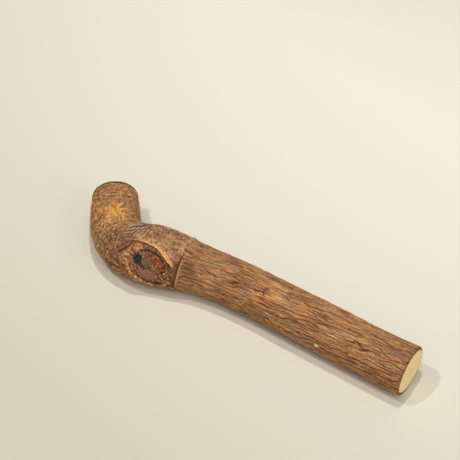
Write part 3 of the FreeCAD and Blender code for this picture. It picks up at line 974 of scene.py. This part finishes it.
def woundFloor(x, y):  # height over the plain bark in mm, and colour masks
    f = floorShape
    flat = np.stack([x, y, 0 * x], -1)
    ragged, fine = noise(flat / 2.3, 81), noise(flat / 0.9, 82)
    grit = noise(flat / 0.5, 83)
    right, up = x + 0.5 * ragged, y + 0.5 * noise(flat / 2.3, 84)
    near, own = cells(flat / 1.5, 85)[::2]
    crumb = smooth(0.65, 0.1, near) * smooth(0.2, 0.5, own)
    height = f["level"] + 0.5 * ragged + 0.35 * fine + 0.14 * grit + 0.3 * crumb

    # a rounded band under the lip, and a dark line along its inside
    fromLip, lipShare = strokeDistance(right, up, wound["lipPath"])
    band = smooth(-0.4, 0.6, -insideOutline(right, up, wound["stubEdge"])) * smooth(7.2, 5.0, fromLip)
    bandHeight = f["bandLevel"] + f["bandSwell"] * np.sin(np.clip((fromLip - 1.0) / 4.6, 0, 1) * math.pi)
    bandHeight = bandHeight + 0.2 * fine + 0.12 * grit
    bandFibres = noise(np.stack([lipShare * 16, fromLip / 1.3, 0 * x], -1), 86)
    bandHeight = bandHeight - 0.25 * groove(bandFibres, 0.2)
    height = height * (1 - band) + bandHeight * band
    fromLine, lineShare = strokeDistance(right, up, f["innerLine"])
    line = bump(fromLine, 0.7) * smooth(0, 0.12, lineShare) * smooth(1.0, 0.9, lineShare)
    height = height - f["lineDepth"] * line

    # a calm patch low down, a golden one at the upper left, crumbs at the right
    calmX, calmY = (x + 2.2) / 8.6, (y + 10.2) / 4.6
    calm = smooth(1.25, 0.7, np.hypot(calmX, calmY + 0.12 * calmX) + 0.12 * ragged)
    height = height * (1 - calm) + (f["calmLevel"] + 0.12 * ragged + 0.05 * grit) * calm
    goldPatch = smooth(1.2, 0.5, np.hypot((x + 13.4) / 5.0, (y - 10.6) / 3.4) + 0.25 * ragged)
    height = height + goldPatch * (0.55 + 0.5 * crumb)
    crumbled = smooth(9.5, 13.5, x - 0.3 * y) * (1 - band)
    height = height + crumbled * (0.5 * crumb + 0.35 * ragged + 0.3)

    # the lower rim rises to the bark, with a crack inside it
    crack = bump(strokeDistance(right, up, f["rimCrack"])[0], 0.75)
    rimRise = smooth(2.6, 0.2, insideOutline(right, up, wound["edge"])) * smooth(0.6, -4, y)
    height = height * (1 - 0.8 * rimRise) + (0.1 + 0.5 * crumb) * rimRise - f["crackDepth"] * crack
    height, dark, blue = digHollows(x, y, height, 0.14 * ragged + 0.08 * fine)

    # painted shadow on the floor just under the lip
    paintedLipShadow = bump(fromLip - 0.4, 1.2) * smooth(0.06, 0.25, lipShare)
    golden = goldPatch * smooth(-0.6, 0.2, fine) + rimRise * smooth(0.1, 0.6, crumb + 0.4 * fine)
    # painted shade: the pits, the inner line, the rim crack, the fine grooves and the strip under the lip are
    # painted darker
    dark = dark + line + crack + paintedLipShadow + 0.4 * groove(fine, 0.16) * (1 - calm)
    masks = {"band": np.clip(band + 0.6 * crumbled * smooth(0.0, 0.5, ragged), 0, 1), "calm": calm,
             "green": bump(np.hypot(x + 3.0, y - 1.6), 3.4), "golden": np.clip(golden, 0, 1),
             "dark": np.clip(dark, 0, 1), "blue": blue, "flow": flat * mm}
    return height, masks


def outlineReach(turns, outline):  # how far the outline lies from its middle in each direction
    return insideOutline(1e-6 * np.cos(turns), 1e-6 * np.sin(turns), outline)


def woundGrid(outline, hole, rings, spokes):  # the floor from a hole, or the middle, out to an outline
    turns = np.arange(spokes) * 2 * math.pi / spokes
    reach = outlineReach(turns, outline)
    start = outlineReach(turns, hole) if hole else 0 * reach
    radius = start + (reach - start) * np.linspace(0, 1, rings + 1)[:, None]
    x, y = radius * np.cos(turns), radius * np.sin(turns)
    height, masks = woundFloor(x, y)
    plain = overBark(x, y)
    grid = np.arange(x.size).reshape(x.shape)
    return x, y, plain, inWound(x, y, plain + height), masks, grid


def carryMasks(masks, count):  # the points under the surface repeat its last value
    flat = {}
    for key, values in masks.items():
        body = values.reshape((-1,) + values.shape[2:])
        flat[key] = np.concatenate([body, np.repeat(body[-1:], count - len(body), 0)])
    return flat


stubShape = {"rings": 60, "spokes": 190, "footScale": 0.5, "footOut": 5.0}


def makeStub():  # the broken top of the dead stub, tapering down to its foot
    rings, spokes, scale = stubShape["rings"], stubShape["spokes"], stubShape["footScale"]
    x, y, plain, top, masks, grid = woundGrid(wound["stubEdge"], None, rings, spokes)
    foot = inWound(x[-1] * scale, y[-1] * scale, plain[-1] * 0 + stubShape["footOut"])
    footRow = grid.size + np.arange(spokes)
    caps = np.array([foot.mean(0), top[1].mean(0)])
    footCap = grid.size + spokes
    quads = [ringQuads(grid[i + 1], grid[i]) for i in range(1, rings)]
    quads.append(ringQuads(footRow, grid[-1]))
    tris = np.concatenate([fanTris(footRow, footCap), fanTris(grid[1], footCap + 1)[:, ::-1]])
    points = np.concatenate([top.reshape(-1, 3), foot, caps])
    return newMesh("deadStub", points, np.concatenate(quads), ["knot_wood"],
                   woundMaterial("deadStubFinish"), carryMasks(masks, len(points)), tris)


trappedShape = {"rings": 40, "spokes": 300, "grow": 1.05}


def makeTrappedBark():  # the ring of old bark between the stub and the wound's edge
    outline = [(px * trappedShape["grow"], py * trappedShape["grow"]) for px, py in wound["edge"]]
    rings, spokes = trappedShape["rings"], trappedShape["spokes"]
    x, y, plain, top, masks, grid = woundGrid(outline, wound["stubEdge"], rings, spokes)
    low = [inWound(x[end], y[end], plain[end] - floorShape["skirt"]) for end in (-1, 0)]
    outerLow, innerLow = grid.size + np.arange(2 * spokes).reshape(2, spokes)
    quads = [ringQuads(grid[i + 1], grid[i]) for i in range(rings)]
    quads += [ringQuads(outerLow, grid[-1]), ringQuads(innerLow, outerLow), ringQuads(grid[0], innerLow)]
    points = np.concatenate([top.reshape(-1, 3)] + low)
    return newMesh("trappedBark", points, np.concatenate(quads), ["stub_bark"],
                   woundMaterial("trappedBarkFinish"), carryMasks(masks, len(points)))


def woundMaterial(name):
    s = Sheet(name)
    grain = s.group(barkGrain, Flow=s.mask("flow"), Along=900.0, Across=900.0)
    tone = s.math("MULTIPLY_ADD", s.math("SUBTRACT", grain["Mottle"], 0.5), 1.7,
                  s.math("MULTIPLY_ADD", s.math("SUBTRACT", grain["Streak"], 0.5), 1.3, 0.5))
    colour = s.ramp(tone, [(0.3, srgb(72, 42, 30)), (0.48, srgb(126, 80, 52)), (0.64, srgb(168, 116, 78)),
                           (0.85, srgb(208, 156, 108))])
    layers = {  # mask: how strongly, and its colour
        "green": (0.75, srgb(104, 84, 52)),
        "calm": (0.85, s.ramp(grain["Streak"], [(0.35, srgb(112, 64, 42)), (0.65, srgb(186, 124, 88))])),
        "band": (0.85, s.ramp(grain["Mottle"], [(0.35, srgb(80, 48, 42)), (0.65, srgb(168, 118, 98))])),
        "golden": (0.9, s.mix(grain["Streak"], srgb(196, 120, 40), srgb(240, 182, 92))),
        # dark: painted shade in the pits, grooves and cracks and under the lip; blue: the rot hole's shade
        # painted blue-black
        "dark": (0.93, srgb(46, 26, 22)),
        "blue": (1.0, s.mix(grain["Mottle"], srgb(22, 26, 30), srgb(62, 72, 76))),
    }
    for key, (amount, layer) in layers.items():
        colour = s.mix(s.math("MULTIPLY", s.mask(key), amount), colour, layer)
    s.link(colour, s.shader.inputs["Base Color"])
    s.link(s.math("MULTIPLY_ADD", grain["Mottle"], 0.3, 0.5), s.shader.inputs["Roughness"])
    s.shader.inputs["Specular IOR Level"].default_value = 0.35
    s.bump(grain["Height"], 0.6, 0.0005)
    return s.material


makeStub()
makeTrappedBark()


lipShape = {  # share along, half width, height: mm
    "widths": [(0.0, 0.5), (0.15, 0.8), (0.4, 1.25), (0.6, 1.9), (0.78, 2.5), (0.93, 2.2), (1.0, 1.0)],
    "heights": [(0.0, 0.4), (0.15, 0.8), (0.4, 1.2), (0.6, 1.6), (0.8, 1.9), (0.95, 1.6), (1.0, 0.7)],
    # across the lip: + is away from the wound, then height as a share of its own
    "section": [(1.25, -0.55), (1.0, -0.1), (0.75, 0.28), (0.45, 0.62), (0.15, 0.86), (-0.15, 1.0),
                (-0.42, 1.03), (-0.62, 0.93), (-0.72, 0.72), (-0.7, 0.45), (-0.58, 0.2), (-0.5, -0.3),
                (-0.4, -1.2), (0.4, -1.4), (1.2, -1.2)],
    "stations": 240, "around": 64, "fibreDepth": 0.28, "rough": 0.26, "wander": 0.5,
}


def smoothPath(points, count):  # evenly spaced points on a smooth line through the given ones
    pts = np.array(points, float)
    run = np.concatenate([[0], np.cumsum(np.linalg.norm(np.diff(pts, axis=0), axis=1))])
    slope = np.gradient(pts, run, axis=0)
    at = np.linspace(0, run[-1], count)
    i = np.clip(np.searchsorted(run, at) - 1, 0, len(run) - 2)
    h = (run[i + 1] - run[i])[:, None]
    t = (at - run[i])[:, None] / h
    return ((2 * t**3 - 3 * t**2 + 1) * pts[i] + (t**3 - 2 * t**2 + t) * h * slope[i]
            + (3 * t**2 - 2 * t**3) * pts[i + 1] + (t**3 - t**2) * h * slope[i + 1])


def tubeMesh(name, rings, slot, material, masks):  # closed tube through rings of points
    count, around = rings.shape[:2]
    grid = np.arange(count * around).reshape(count, around)
    quads = np.concatenate([ringQuads(grid[i], grid[i + 1]) for i in range(count - 1)])
    ends = np.array([rings[0].mean(0), rings[-1].mean(0)])
    tris = np.concatenate([fanTris(grid[0], grid.size), fanTris(grid[-1], grid.size + 1)[:, ::-1]])
    points = np.concatenate([rings.reshape(-1, 3), ends])
    flat = {}
    for key, values in masks.items():
        body = values.reshape((-1,) + values.shape[2:])
        flat[key] = np.concatenate([body, body[:1], body[-1:]])
    return newMesh(name, points, quads, [slot], material, flat, tris)


def makeLip():
    path = smoothPath(wound["lipPath"], lipShape["stations"])
    travel = unit(np.gradient(path, axis=0))
    away = np.stack([-travel[:, 1], travel[:, 0]], -1)
    away = away * np.sign((away * (path - path.mean(0) + [0, 8])).sum(-1, keepdims=True))
    share = np.linspace(0, 1, len(path))
    width = np.interp(share, *zip(*lipShape["widths"]))
    rise = np.interp(share, *zip(*lipShape["heights"]))
    section = lipShape["section"]
    fine = smoothPath(section + section[:1], lipShape["around"])[:-1]
    u, v = fine[:, 0], fine[:, 1]
    across = width[:, None] * u
    x = path[:, 0:1] + away[:, 0:1] * across
    y = path[:, 1:2] + away[:, 1:2] * across
    wave = np.stack([np.broadcast_to(share[:, None] * 40, x.shape), across, np.broadcast_to(v, x.shape)], -1)
    fibre = groove(noise(wave * np.array([0.35, 1.7, 1.2]) + share[:, None, None] * 1.5, 91), 0.2)
    rough = noise(wave / np.array([1.5, 0.9, 0.9]), 92)
    wander = noise(np.stack([share * 9, 0 * share, 0 * share + 2], -1), 93) * smooth(0, 0.2, share)
    shift = lipShape["rough"] * rough + lipShape["wander"] * wander[:, None]
    x = x + away[:, 0:1] * shift
    y = y + away[:, 1:2] * shift
    out = overBark(x, y) + rise[:, None] * v - lipShape["fibreDepth"] * fibre * (v > 0) + 0.16 * rough
    # a painted highlight on the lip's inner crest, and painted shadow under its inner edge
    paintedHighlight = smooth(0.55, 1.0, v) * smooth(0.4, -0.5, u)
    masks = {"crest": paintedHighlight * (0.6 + 0.4 * rough), "fibre": fibre,
             "under": np.broadcast_to(smooth(0.5, -0.2, v) * smooth(0.2, -0.4, u), x.shape),
             "flow": np.stack([share[:, None] * 45 + 0 * x, across, 0 * x], -1) * mm}
    return tubeMesh("callusLip", inWound(x, y, out), "callus_lip", lipMaterial(), masks)


def lipMaterial():
    s = Sheet("callusLipFinish")
    grain = s.group(barkGrain, Flow=s.mask("flow"), Along=260.0, Across=1500.0)
    colour = s.ramp(grain["Streak"], [(0.3, srgb(168, 98, 38)), (0.5, srgb(220, 146, 60)),
                                      (0.7, srgb(250, 192, 104))])
    colour = s.mix(s.math("MULTIPLY", s.mask("fibre"), 0.5), colour, srgb(138, 78, 34))
    # crest: painted highlight on the lip's inner edge
    colour = s.mix(s.math("MULTIPLY", s.mask("crest"), 0.6), colour, srgb(252, 212, 144))
    # under: painted shadow beneath the lip's inner edge
    colour = s.mix(s.mask("under"), colour, srgb(70, 36, 26))
    s.link(colour, s.shader.inputs["Base Color"])
    s.shader.inputs["Roughness"].default_value = 0.55
    s.bump(grain["Height"], 0.5, 0.0005)
    return s.material


makeLip()


punkShape = {
    "path": [(-7.2, 7.0), (-4.4, 7.5), (-0.6, 6.9), (3.0, 4.9), (6.1, 2.2), (7.6, -1.4), (7.2, -6.0)],
    "widths": [(0.0, 0.7), (0.15, 1.3), (0.35, 2.0), (0.6, 3.0), (0.85, 3.5), (1.0, 1.8)],
    "height": 1.25, "pitDepth": 0.8, "stations": 150, "around": 96,
}


def makePunk():
    path = smoothPath(punkShape["path"], punkShape["stations"])
    travel = unit(np.gradient(path, axis=0))
    away = np.stack([-travel[:, 1], travel[:, 0]], -1)
    share = np.linspace(0, 1, len(path))
    width = np.interp(share, *zip(*punkShape["widths"]))
    turn = np.linspace(0, 2 * math.pi, punkShape["around"] + 1)[:-1]
    u, v = np.cos(turn), np.sin(turn)
    across = width[:, None] * u
    x = path[:, 0:1] + away[:, 0:1] * across
    y = path[:, 1:2] + away[:, 1:2] * across
    flat = np.stack([x, y, 0 * x], -1)
    near, second, own = cells(flat / 1.05 + 0.3 * noise(flat / 1.1, 95)[..., None], 94)
    pit = smooth(0.3, 0.12, second - near) + smooth(0.68, 0.8, own)
    pit = np.clip(pit, 0, 1)
    lumpy = 0.5 * noise(flat / 2.4, 96) + 0.3 * smooth(0.6, 0.1, near)
    taper = np.sqrt(np.clip(1 - np.abs(share * 2 - 1) ** 6, 0, 1))[:, None]
    upper = np.maximum(v, 0) ** 0.6
    base = np.minimum(woundFloor(x, y)[0], -0.3)
    rise = (punkShape["height"] + 0.5 + lumpy - punkShape["pitDepth"] * pit) * upper * taper
    out = overBark(x, y) + base - 0.5 + rise - 1.0 * np.maximum(-v, 0)
    masks = {"pit": pit, "own": own, "flow": flat * mm}
    return tubeMesh("rottenWood", inWound(x, y, out), "punk_wood", punkMaterial(), masks)


def punkMaterial():
    s = Sheet("rottenWoodFinish")
    grain = s.group(barkGrain, Flow=s.mask("flow"), Along=1200.0, Across=1200.0)
    tone = s.math("MULTIPLY_ADD", s.mask("own"), 0.4, s.math("MULTIPLY", grain["Mottle"], 0.7))
    colour = s.ramp(tone, [(0.25, srgb(152, 72, 28)), (0.5, srgb(212, 114, 48)), (0.75, srgb(236, 158, 90)),
                           (0.95, srgb(246, 200, 140))])
    # the pits painted dark brown: partly the rot's own darker colour, partly painted shade
    colour = s.mix(s.math("MULTIPLY", s.mask("pit"), 0.85), colour, srgb(78, 34, 20))
    s.link(colour, s.shader.inputs["Base Color"])
    s.shader.inputs["Roughness"].default_value = 0.8
    s.bump(grain["Height"], 0.6, 0.0005)
    return s.material


makePunk()


def ballTemplate(rows, cols):  # directions of a ball and its faces
    lat = np.linspace(0, math.pi, rows + 1)[1:-1]
    lon = np.arange(cols) * 2 * math.pi / cols
    ring = np.stack([np.outer(np.sin(lat), np.cos(lon)), np.outer(np.sin(lat), np.sin(lon)),
                     np.outer(np.cos(lat), np.ones(cols))], -1).reshape(-1, 3)
    directions = np.concatenate([ring, [[0, 0, 1], [0, 0, -1]]])
    grid = np.arange(len(ring)).reshape(-1, cols)
    quads = np.concatenate([ringQuads(grid[i + 1], grid[i]) for i in range(len(grid) - 1)])
    tris = np.concatenate([fanTris(grid[0], len(ring))[:, ::-1], fanTris(grid[-1], len(ring) + 1)])
    return directions, quads, tris


def scatterLumps(name, lumps, slot, material, rows=14, cols=20):  # lumps: place, size, frame, shade
    directions, quads, tris = ballTemplate(rows, cols)
    allPoints, allQuads, allTris, tone = [], [], [], []
    for k, (at, size, frameOf, shade) in enumerate(lumps):
        dents = 0.35 * noise(directions * 1.3 + 17.3 * k, 101)
        grit = 0.16 * noise(directions * 3.1 + 9.1 * k, 102)
        body = directions * (1 + dents + grit)[:, None]
        body = np.sign(body) * np.abs(body) ** 0.8
        allPoints.append(at + (body * size) @ frameOf)
        allQuads.append(quads + k * len(directions))
        allTris.append(tris + k * len(directions))
        tone.append(np.full(len(directions), shade))
    points = np.concatenate(allPoints)
    masks = {"tone": np.concatenate(tone), "flow": points}
    allQuads, allTris = np.concatenate(allQuads), np.concatenate(allTris)
    return newMesh(name, points, allQuads, [slot], material, masks, allTris)


def crumbMaterial(name, colours):
    s = Sheet(name)
    grain = s.group(barkGrain, Flow=s.mask("flow"), Along=1100.0, Across=1100.0)
    tone = s.math("MULTIPLY_ADD", s.mask("tone"), 0.72, s.math("MULTIPLY_ADD", grain["Mottle"], 0.5, -0.12))
    s.link(s.ramp(tone, colours), s.shader.inputs["Base Color"])
    s.shader.inputs["Roughness"].default_value = 0.75
    s.bump(grain["Height"], 0.5, 0.0004)
    return s.material


def turnedFrame(out, turn):  # three directions, the last one out of the surface
    first = unit(np.cross([0.3, 0.2, 1.0], out))
    second = np.cross(out, first)
    c, q = math.cos(turn), math.sin(turn)
    return np.array([first * c + second * q, second * c - first * q, out])


def outOfBark(x, y):  # place and direction on the plain bark over a place in the wound's plane
    out = overBark(np.array([x]), np.array([y]))
    place = inWound(np.array([x]), np.array([y]), out)
    run, angle = locate(place)[:2]
    return place[0], spoke(run, angle)[1][0]


crustShape = {
    "rimPath": [(-18.9, -5.6), (-15.2, -11.2), (-9.9, -15.3), (-2.9, -18.8), (4.0, -19.8), (11.5, -17.6),
                (16.0, -11.0)],
    "rimCount": 58, "rimScatter": 0.75, "rimSize": (0.45, 0.75), "rimForm": (1.3, 0.85, 0.75),
    "sideCount": 26, "sidePlace": (14.5, -3.5), "sideScatter": (1.8, 4.2), "sideSize": (0.4, 0.5),
    "sideForm": (1.2, 0.9, 0.7),
    "speckPlace": (11.9, -5.5), "speckForm": (0.6, 0.5, 0.5), "speckShade": 1.05,
    "colours": [(0.1, srgb(84, 48, 40)), (0.3, srgb(150, 96, 58)), (0.6, srgb(206, 140, 62)),
                (0.85, srgb(244, 196, 112)), (1.0, srgb(240, 220, 192))],
}


def makeCrust():
    c = crustShape
    fullTurn = 6.28
    rimLine = smoothPath(c["rimPath"], 200)
    lumps = []
    for _ in range(c["rimCount"]):
        x, y = rimLine[int(rng.random() * 199)] + rng.normal(0, c["rimScatter"], 2)
        place, out = outOfBark(x, y)
        size = (c["rimSize"][0] + c["rimSize"][1] * rng.random() ** 2) * mm
        place = place + out * (0.1 + 0.35 * rng.random()) * mm
        frameOf = turnedFrame(out, rng.random() * fullTurn)
        lumps.append((place, size * np.array(c["rimForm"]), frameOf, 0.9 * rng.random()))
    for _ in range(c["sideCount"]):
        x = c["sidePlace"][0] + rng.normal(0, c["sideScatter"][0])
        y = c["sidePlace"][1] + rng.normal(0, c["sideScatter"][1])
        place, out = outOfBark(x, y)
        size = (c["sideSize"][0] + c["sideSize"][1] * rng.random()) * mm
        frameOf = turnedFrame(out, rng.random() * fullTurn)
        place = place - out * 0.25 * mm
        lumps.append((place, size * np.array(c["sideForm"]), frameOf, 0.55 * rng.random() ** 1.5))
    place, out = outOfBark(*c["speckPlace"])
    place = place - out * 0.6 * mm
    lumps.append((place, np.array(c["speckForm"]) * mm, turnedFrame(out, 0.4), c["speckShade"]))
    return scatterLumps("woundCrust", lumps, "wound_crust", crumbMaterial("woundCrustFinish", c["colours"]))


makeCrust()


flakeShape = {  # past the crack mm, angle degrees, length, width, thickness mm, turn degrees
    "plates": [(5.0, -38.0, 8.5, 5.0, 1.3, 14.0), (12.0, -50.0, 9.0, 5.5, 1.2, 32.0),
               (19.0, -43.0, 7.0, 4.5, 1.1, -12.0), (-8.0, -34.0, 6.5, 3.4, 1.0, 8.0),
               (9.0, -33.0, 4.0, 2.6, 1.2, 50.0)],
    "colours": [(0.1, srgb(112, 72, 44)), (0.5, srgb(168, 116, 70)), (0.9, srgb(214, 164, 108))],
}


def makeFlakes():
    lumps = []
    for ahead, turn, longest, wide, thick, spin in flakeShape["plates"]:
        angle = np.array([math.radians(turn)])
        run = crackAt(angle) + ahead * mm
        middle, out = spoke(run, angle)
        place = middle[0] + out[0] * (readTable(barkTable, run, angle)[0] - 0.1 * mm)
        lean = unit(out[0] + 0.1 * along(run)[1][0])
        size = np.array([longest / 2, wide / 2, thick / 2 + 0.3]) * mm
        lumps.append((place, size, turnedFrame(lean, math.radians(spin)), 0.3 + 0.4 * rng.random()))
    material = crumbMaterial("barkFlakesFinish", flakeShape["colours"])
    return scatterLumps("barkFlakes", lumps, "bark_flakes", material, 24, 36)


makeFlakes()


ridgeShape = {
    "from": -24.0, "to": 60.0, "width": 1.0, "height": 1.1, "back": 1.0, "stations": 260, "around": 40,
    "colours": [(0.1, srgb(120, 74, 46)), (0.4, srgb(186, 126, 70)), (0.7, srgb(222, 160, 90))],
}


def makeRidge():
    angle = np.radians(np.linspace(ridgeShape["from"], ridgeShape["to"], ridgeShape["stations"]))
    share = np.linspace(0, 1, len(angle))
    broken = noise(np.stack([share * 26, 0 * share, 0 * share], -1), 111)
    run = crackAt(angle) - (ridgeShape["back"] + 0.25 * broken) * mm
    turn = np.linspace(0, 2 * math.pi, ridgeShape["around"] + 1)[:-1]
    u, v = np.cos(turn), np.sin(turn)
    swell = np.maximum(np.sin(np.clip(share * 1.02, 0, 1) * math.pi), 1e-4) ** 0.35  # thin ends, never flat
    wide = ridgeShape["width"] * swell * (0.85 + 0.25 * broken)
    tallness = noise(np.stack([share * 40, 0 * share + 4, 0 * share], -1), 112)
    tall = ridgeShape["height"] * swell * (0.8 + 0.5 * tallness)
    ringRun = run[:, None] + wide[:, None] * u * mm
    ringAngle = np.broadcast_to(angle[:, None], ringRun.shape)
    middle, out = spoke(ringRun, ringAngle)
    rough = noise(np.stack([share[:, None] * 60 + 0 * u, 2 * u + 0 * ringRun, 2 * v + 0 * ringRun], -1), 113)
    over = (tall[:, None] * v + 0.16 * rough) * mm
    points = middle + out * (readTable(barkTable, ringRun, ringAngle) + over)[..., None]
    flow = np.stack([share[:, None] * 40 + 0 * u, wide[:, None] * u, 0 * ringRun], -1) * mm
    material = crumbMaterial("crackRidgeFinish", ridgeShape["colours"])
    return tubeMesh("crackRidge", points, "crack_ridge", material, {"tone": 0.5 + 0.5 * rough, "flow": flow})


makeRidge()


woodLook = {  # the sapwood, pith and inner bark keep their modelled shapes
    "rings": 95.0, "ringStrength": 0.16, "saw": 260.0,
    "rotMiddle": (-3.0, 0.0, 20.0), "rotReach": 27 * mm, "rotEdge": 200.0,
    "pale": [(0.25, srgb(252, 222, 156)), (0.5, srgb(255, 230, 168)), (0.8, srgb(255, 238, 192))],
    "ringColour": srgb(232, 192, 120), "rot": [(0.4, srgb(30, 28, 30)), (0.65, srgb(64, 58, 54))],
}


def waveTexture(s, place, scale, distortion):
    wave = s.nodes.new("ShaderNodeTexWave")
    wave.inputs["Scale"].default_value = scale
    wave.inputs["Distortion"].default_value = distortion
    s.link(place, wave.inputs["Vector"])
    return wave


def sawnWood():  # growth rings and saw marks, with a dark rot stain under the wound
    w = woodLook
    s = Sheet("sapwoodFinish")
    place = s.nodes.new("ShaderNodeTexCoord").outputs["Object"]
    rings = waveTexture(s, place, w["rings"], 2.2)
    rings.wave_type = "RINGS"
    rings.rings_direction = "X"
    rings.inputs["Detail"].default_value = 2.0
    saw = waveTexture(s, place, w["saw"], 1.2)
    saw.bands_direction = "DIAGONAL"
    grain = s.group(barkGrain, Flow=place, Along=500.0, Across=500.0)
    ringAmount = s.math("MULTIPLY", rings.outputs["Fac"], w["ringStrength"])
    colour = s.mix(ringAmount, s.ramp(grain["Mottle"], w["pale"]), w["ringColour"])
    away = s.nodes.new("ShaderNodeVectorMath")
    away.operation = "DISTANCE"
    s.link(place, away.inputs[0])
    away.inputs[1].default_value = tuple(inWound(*w["rotMiddle"]))
    stain = s.math("MULTIPLY", s.math("SUBTRACT", w["rotReach"], away.outputs["Value"]), w["rotEdge"])
    stain = s.math("MINIMUM", s.math("MAXIMUM", stain, 0.0), 1.0)
    colour = s.mix(stain, colour, s.ramp(grain["Mottle"], w["rot"]))
    s.link(colour, s.shader.inputs["Base Color"])
    s.shader.inputs["Roughness"].default_value = 0.7
    s.bump(s.math("MULTIPLY_ADD", saw.outputs["Fac"], 0.5, grain["Height"]), 0.16, 0.0003)
    return s.material


def softTissue(name, low, high, scale):
    s = Sheet(name)
    place = s.nodes.new("ShaderNodeTexCoord").outputs["Object"]
    grain = s.group(barkGrain, Flow=place, Along=scale, Across=scale * 3)
    s.link(s.ramp(grain["Streak"], [(0.3, low), (0.7, high)]), s.shader.inputs["Base Color"])
    s.shader.inputs["Roughness"].default_value = 0.8
    s.bump(grain["Height"], 0.4, 0.0003)
    return s.material


def dress(node, material):
    mesh = frame["nodes"][node]
    for slot in mesh.material_slots:
        slot.material = material


dress("sapwood", sawnWood())
dress("pith", softTissue("pithFinish", srgb(236, 202, 138), srgb(252, 224, 166), 400.0))
dress("inner_bark", softTissue("innerBarkFinish", srgb(150, 96, 52), srgb(206, 150, 92), 300.0))
print("dressed the wood")


stage = {
    "elevation": 46.0, "azimuth": 34.3, "distance": 0.981, "lens": 101.75, "right": 0.13885, "up": 0.10885,
    "room": 0.24, "roomColour": srgb(255, 252, 246),
    "aim": (-0.15, 0, 0),  # where the lights point
    # floorNear and floorFar: painted light falloff, darker near the camera, lighter far off
    "floor": 3.0, "floorNear": srgb(206, 201, 184), "floorFar": srgb(247, 244, 234),
}
lights = {  # direction and height in degrees, distance, size, power, colour
    "keyLight": (100, 88, 1.3, 0.06, 5.3, (1.0, 0.97, 0.9)),
    "leftLight": (223, 66, 1.3, 0.07, 4.2, (1.0, 0.97, 0.92)),
    "frontLight": (304, 58, 3.3, 1.8, 32.0, (1.0, 0.98, 0.94)),
    "rightLight": (350, 34, 3.3, 1.8, 18.0, (1.0, 0.97, 0.9)),
}


def placeCamera():
    el, az = math.radians(stage["elevation"]), math.radians(stage["azimuth"])
    forward = Vector((-math.sin(az) * math.cos(el), math.cos(az) * math.cos(el), -math.sin(el)))
    right = Vector((math.cos(az), math.sin(az), 0))
    up = right.cross(forward)
    lens = bpy.data.cameras.new("camera")
    lens.lens = stage["lens"]
    lens.sensor_width = 36
    lens.clip_end = 20
    camera = bpy.data.objects.new("camera", lens)
    offset = forward + right * stage["right"] - up * stage["up"]
    camera.location = Vector(handleFace) - stage["distance"] * offset
    camera.rotation_euler = forward.to_track_quat("-Z", "Y").to_euler()
    bpy.context.scene.collection.objects.link(camera)
    bpy.context.scene.camera = camera


def addLight(name, towards, height, distance, size, power, colour):
    data = bpy.data.lights.new(name, "AREA")
    data.shape = "DISK"
    data.size = size
    data.energy = power
    data.color = colour
    lamp = bpy.data.objects.new(name, data)
    turn, lift = math.radians(towards), math.radians(height)
    away = Vector((math.cos(turn) * math.cos(lift), math.sin(turn) * math.cos(lift), math.sin(lift)))
    lamp.location = Vector(stage["aim"]) + away * distance
    lamp.rotation_euler = away.to_track_quat("Z", "Y").to_euler()
    bpy.context.scene.collection.objects.link(lamp)


def makeFloor():
    level, half = cadBox[0][2], stage["floor"]
    mesh = bpy.data.meshes.new("floor")
    corners = [(-half, -half, level), (half, -half, level), (half, half, level), (-half, half, level)]
    mesh.from_pydata(corners, [], [(0, 1, 2, 3)])
    floor = bpy.data.objects.new("floor", mesh)
    bpy.context.scene.collection.objects.link(floor)
    s = Sheet("floorWithPaintedLightFalloff")
    place = s.nodes.new("ShaderNodeTexCoord").outputs["Object"]
    across = s.nodes.new("ShaderNodeVectorMath")
    across.operation = "DOT_PRODUCT"
    s.link(place, across.inputs[0])
    across.inputs[1].default_value = (0.1, 1.0, 0.0)
    # the floor's colour runs darker near the camera and lighter far off: painted light falloff
    shade = s.math("MULTIPLY_ADD", across.outputs["Value"], 2.0, 0.46)
    paintedFalloff = s.ramp(shade, [(0.1, stage["floorNear"]), (1.0, stage["floorFar"])])
    s.link(paintedFalloff, s.shader.inputs["Base Color"])
    s.shader.inputs["Roughness"].default_value = 0.7
    mesh.materials.append(s.material)


def setRoom():
    world = bpy.data.worlds.new("room")
    world.use_nodes = True
    world.node_tree.nodes["Background"].inputs["Color"].default_value = stage["roomColour"]
    world.node_tree.nodes["Background"].inputs["Strength"].default_value = stage["room"]
    bpy.context.scene.world = world
    bpy.context.scene.view_settings.view_transform = "Standard"


makeFloor()
setRoom()
for lightName, values in lights.items():
    addLight(lightName, *values)
placeCamera()
print("set the stage")
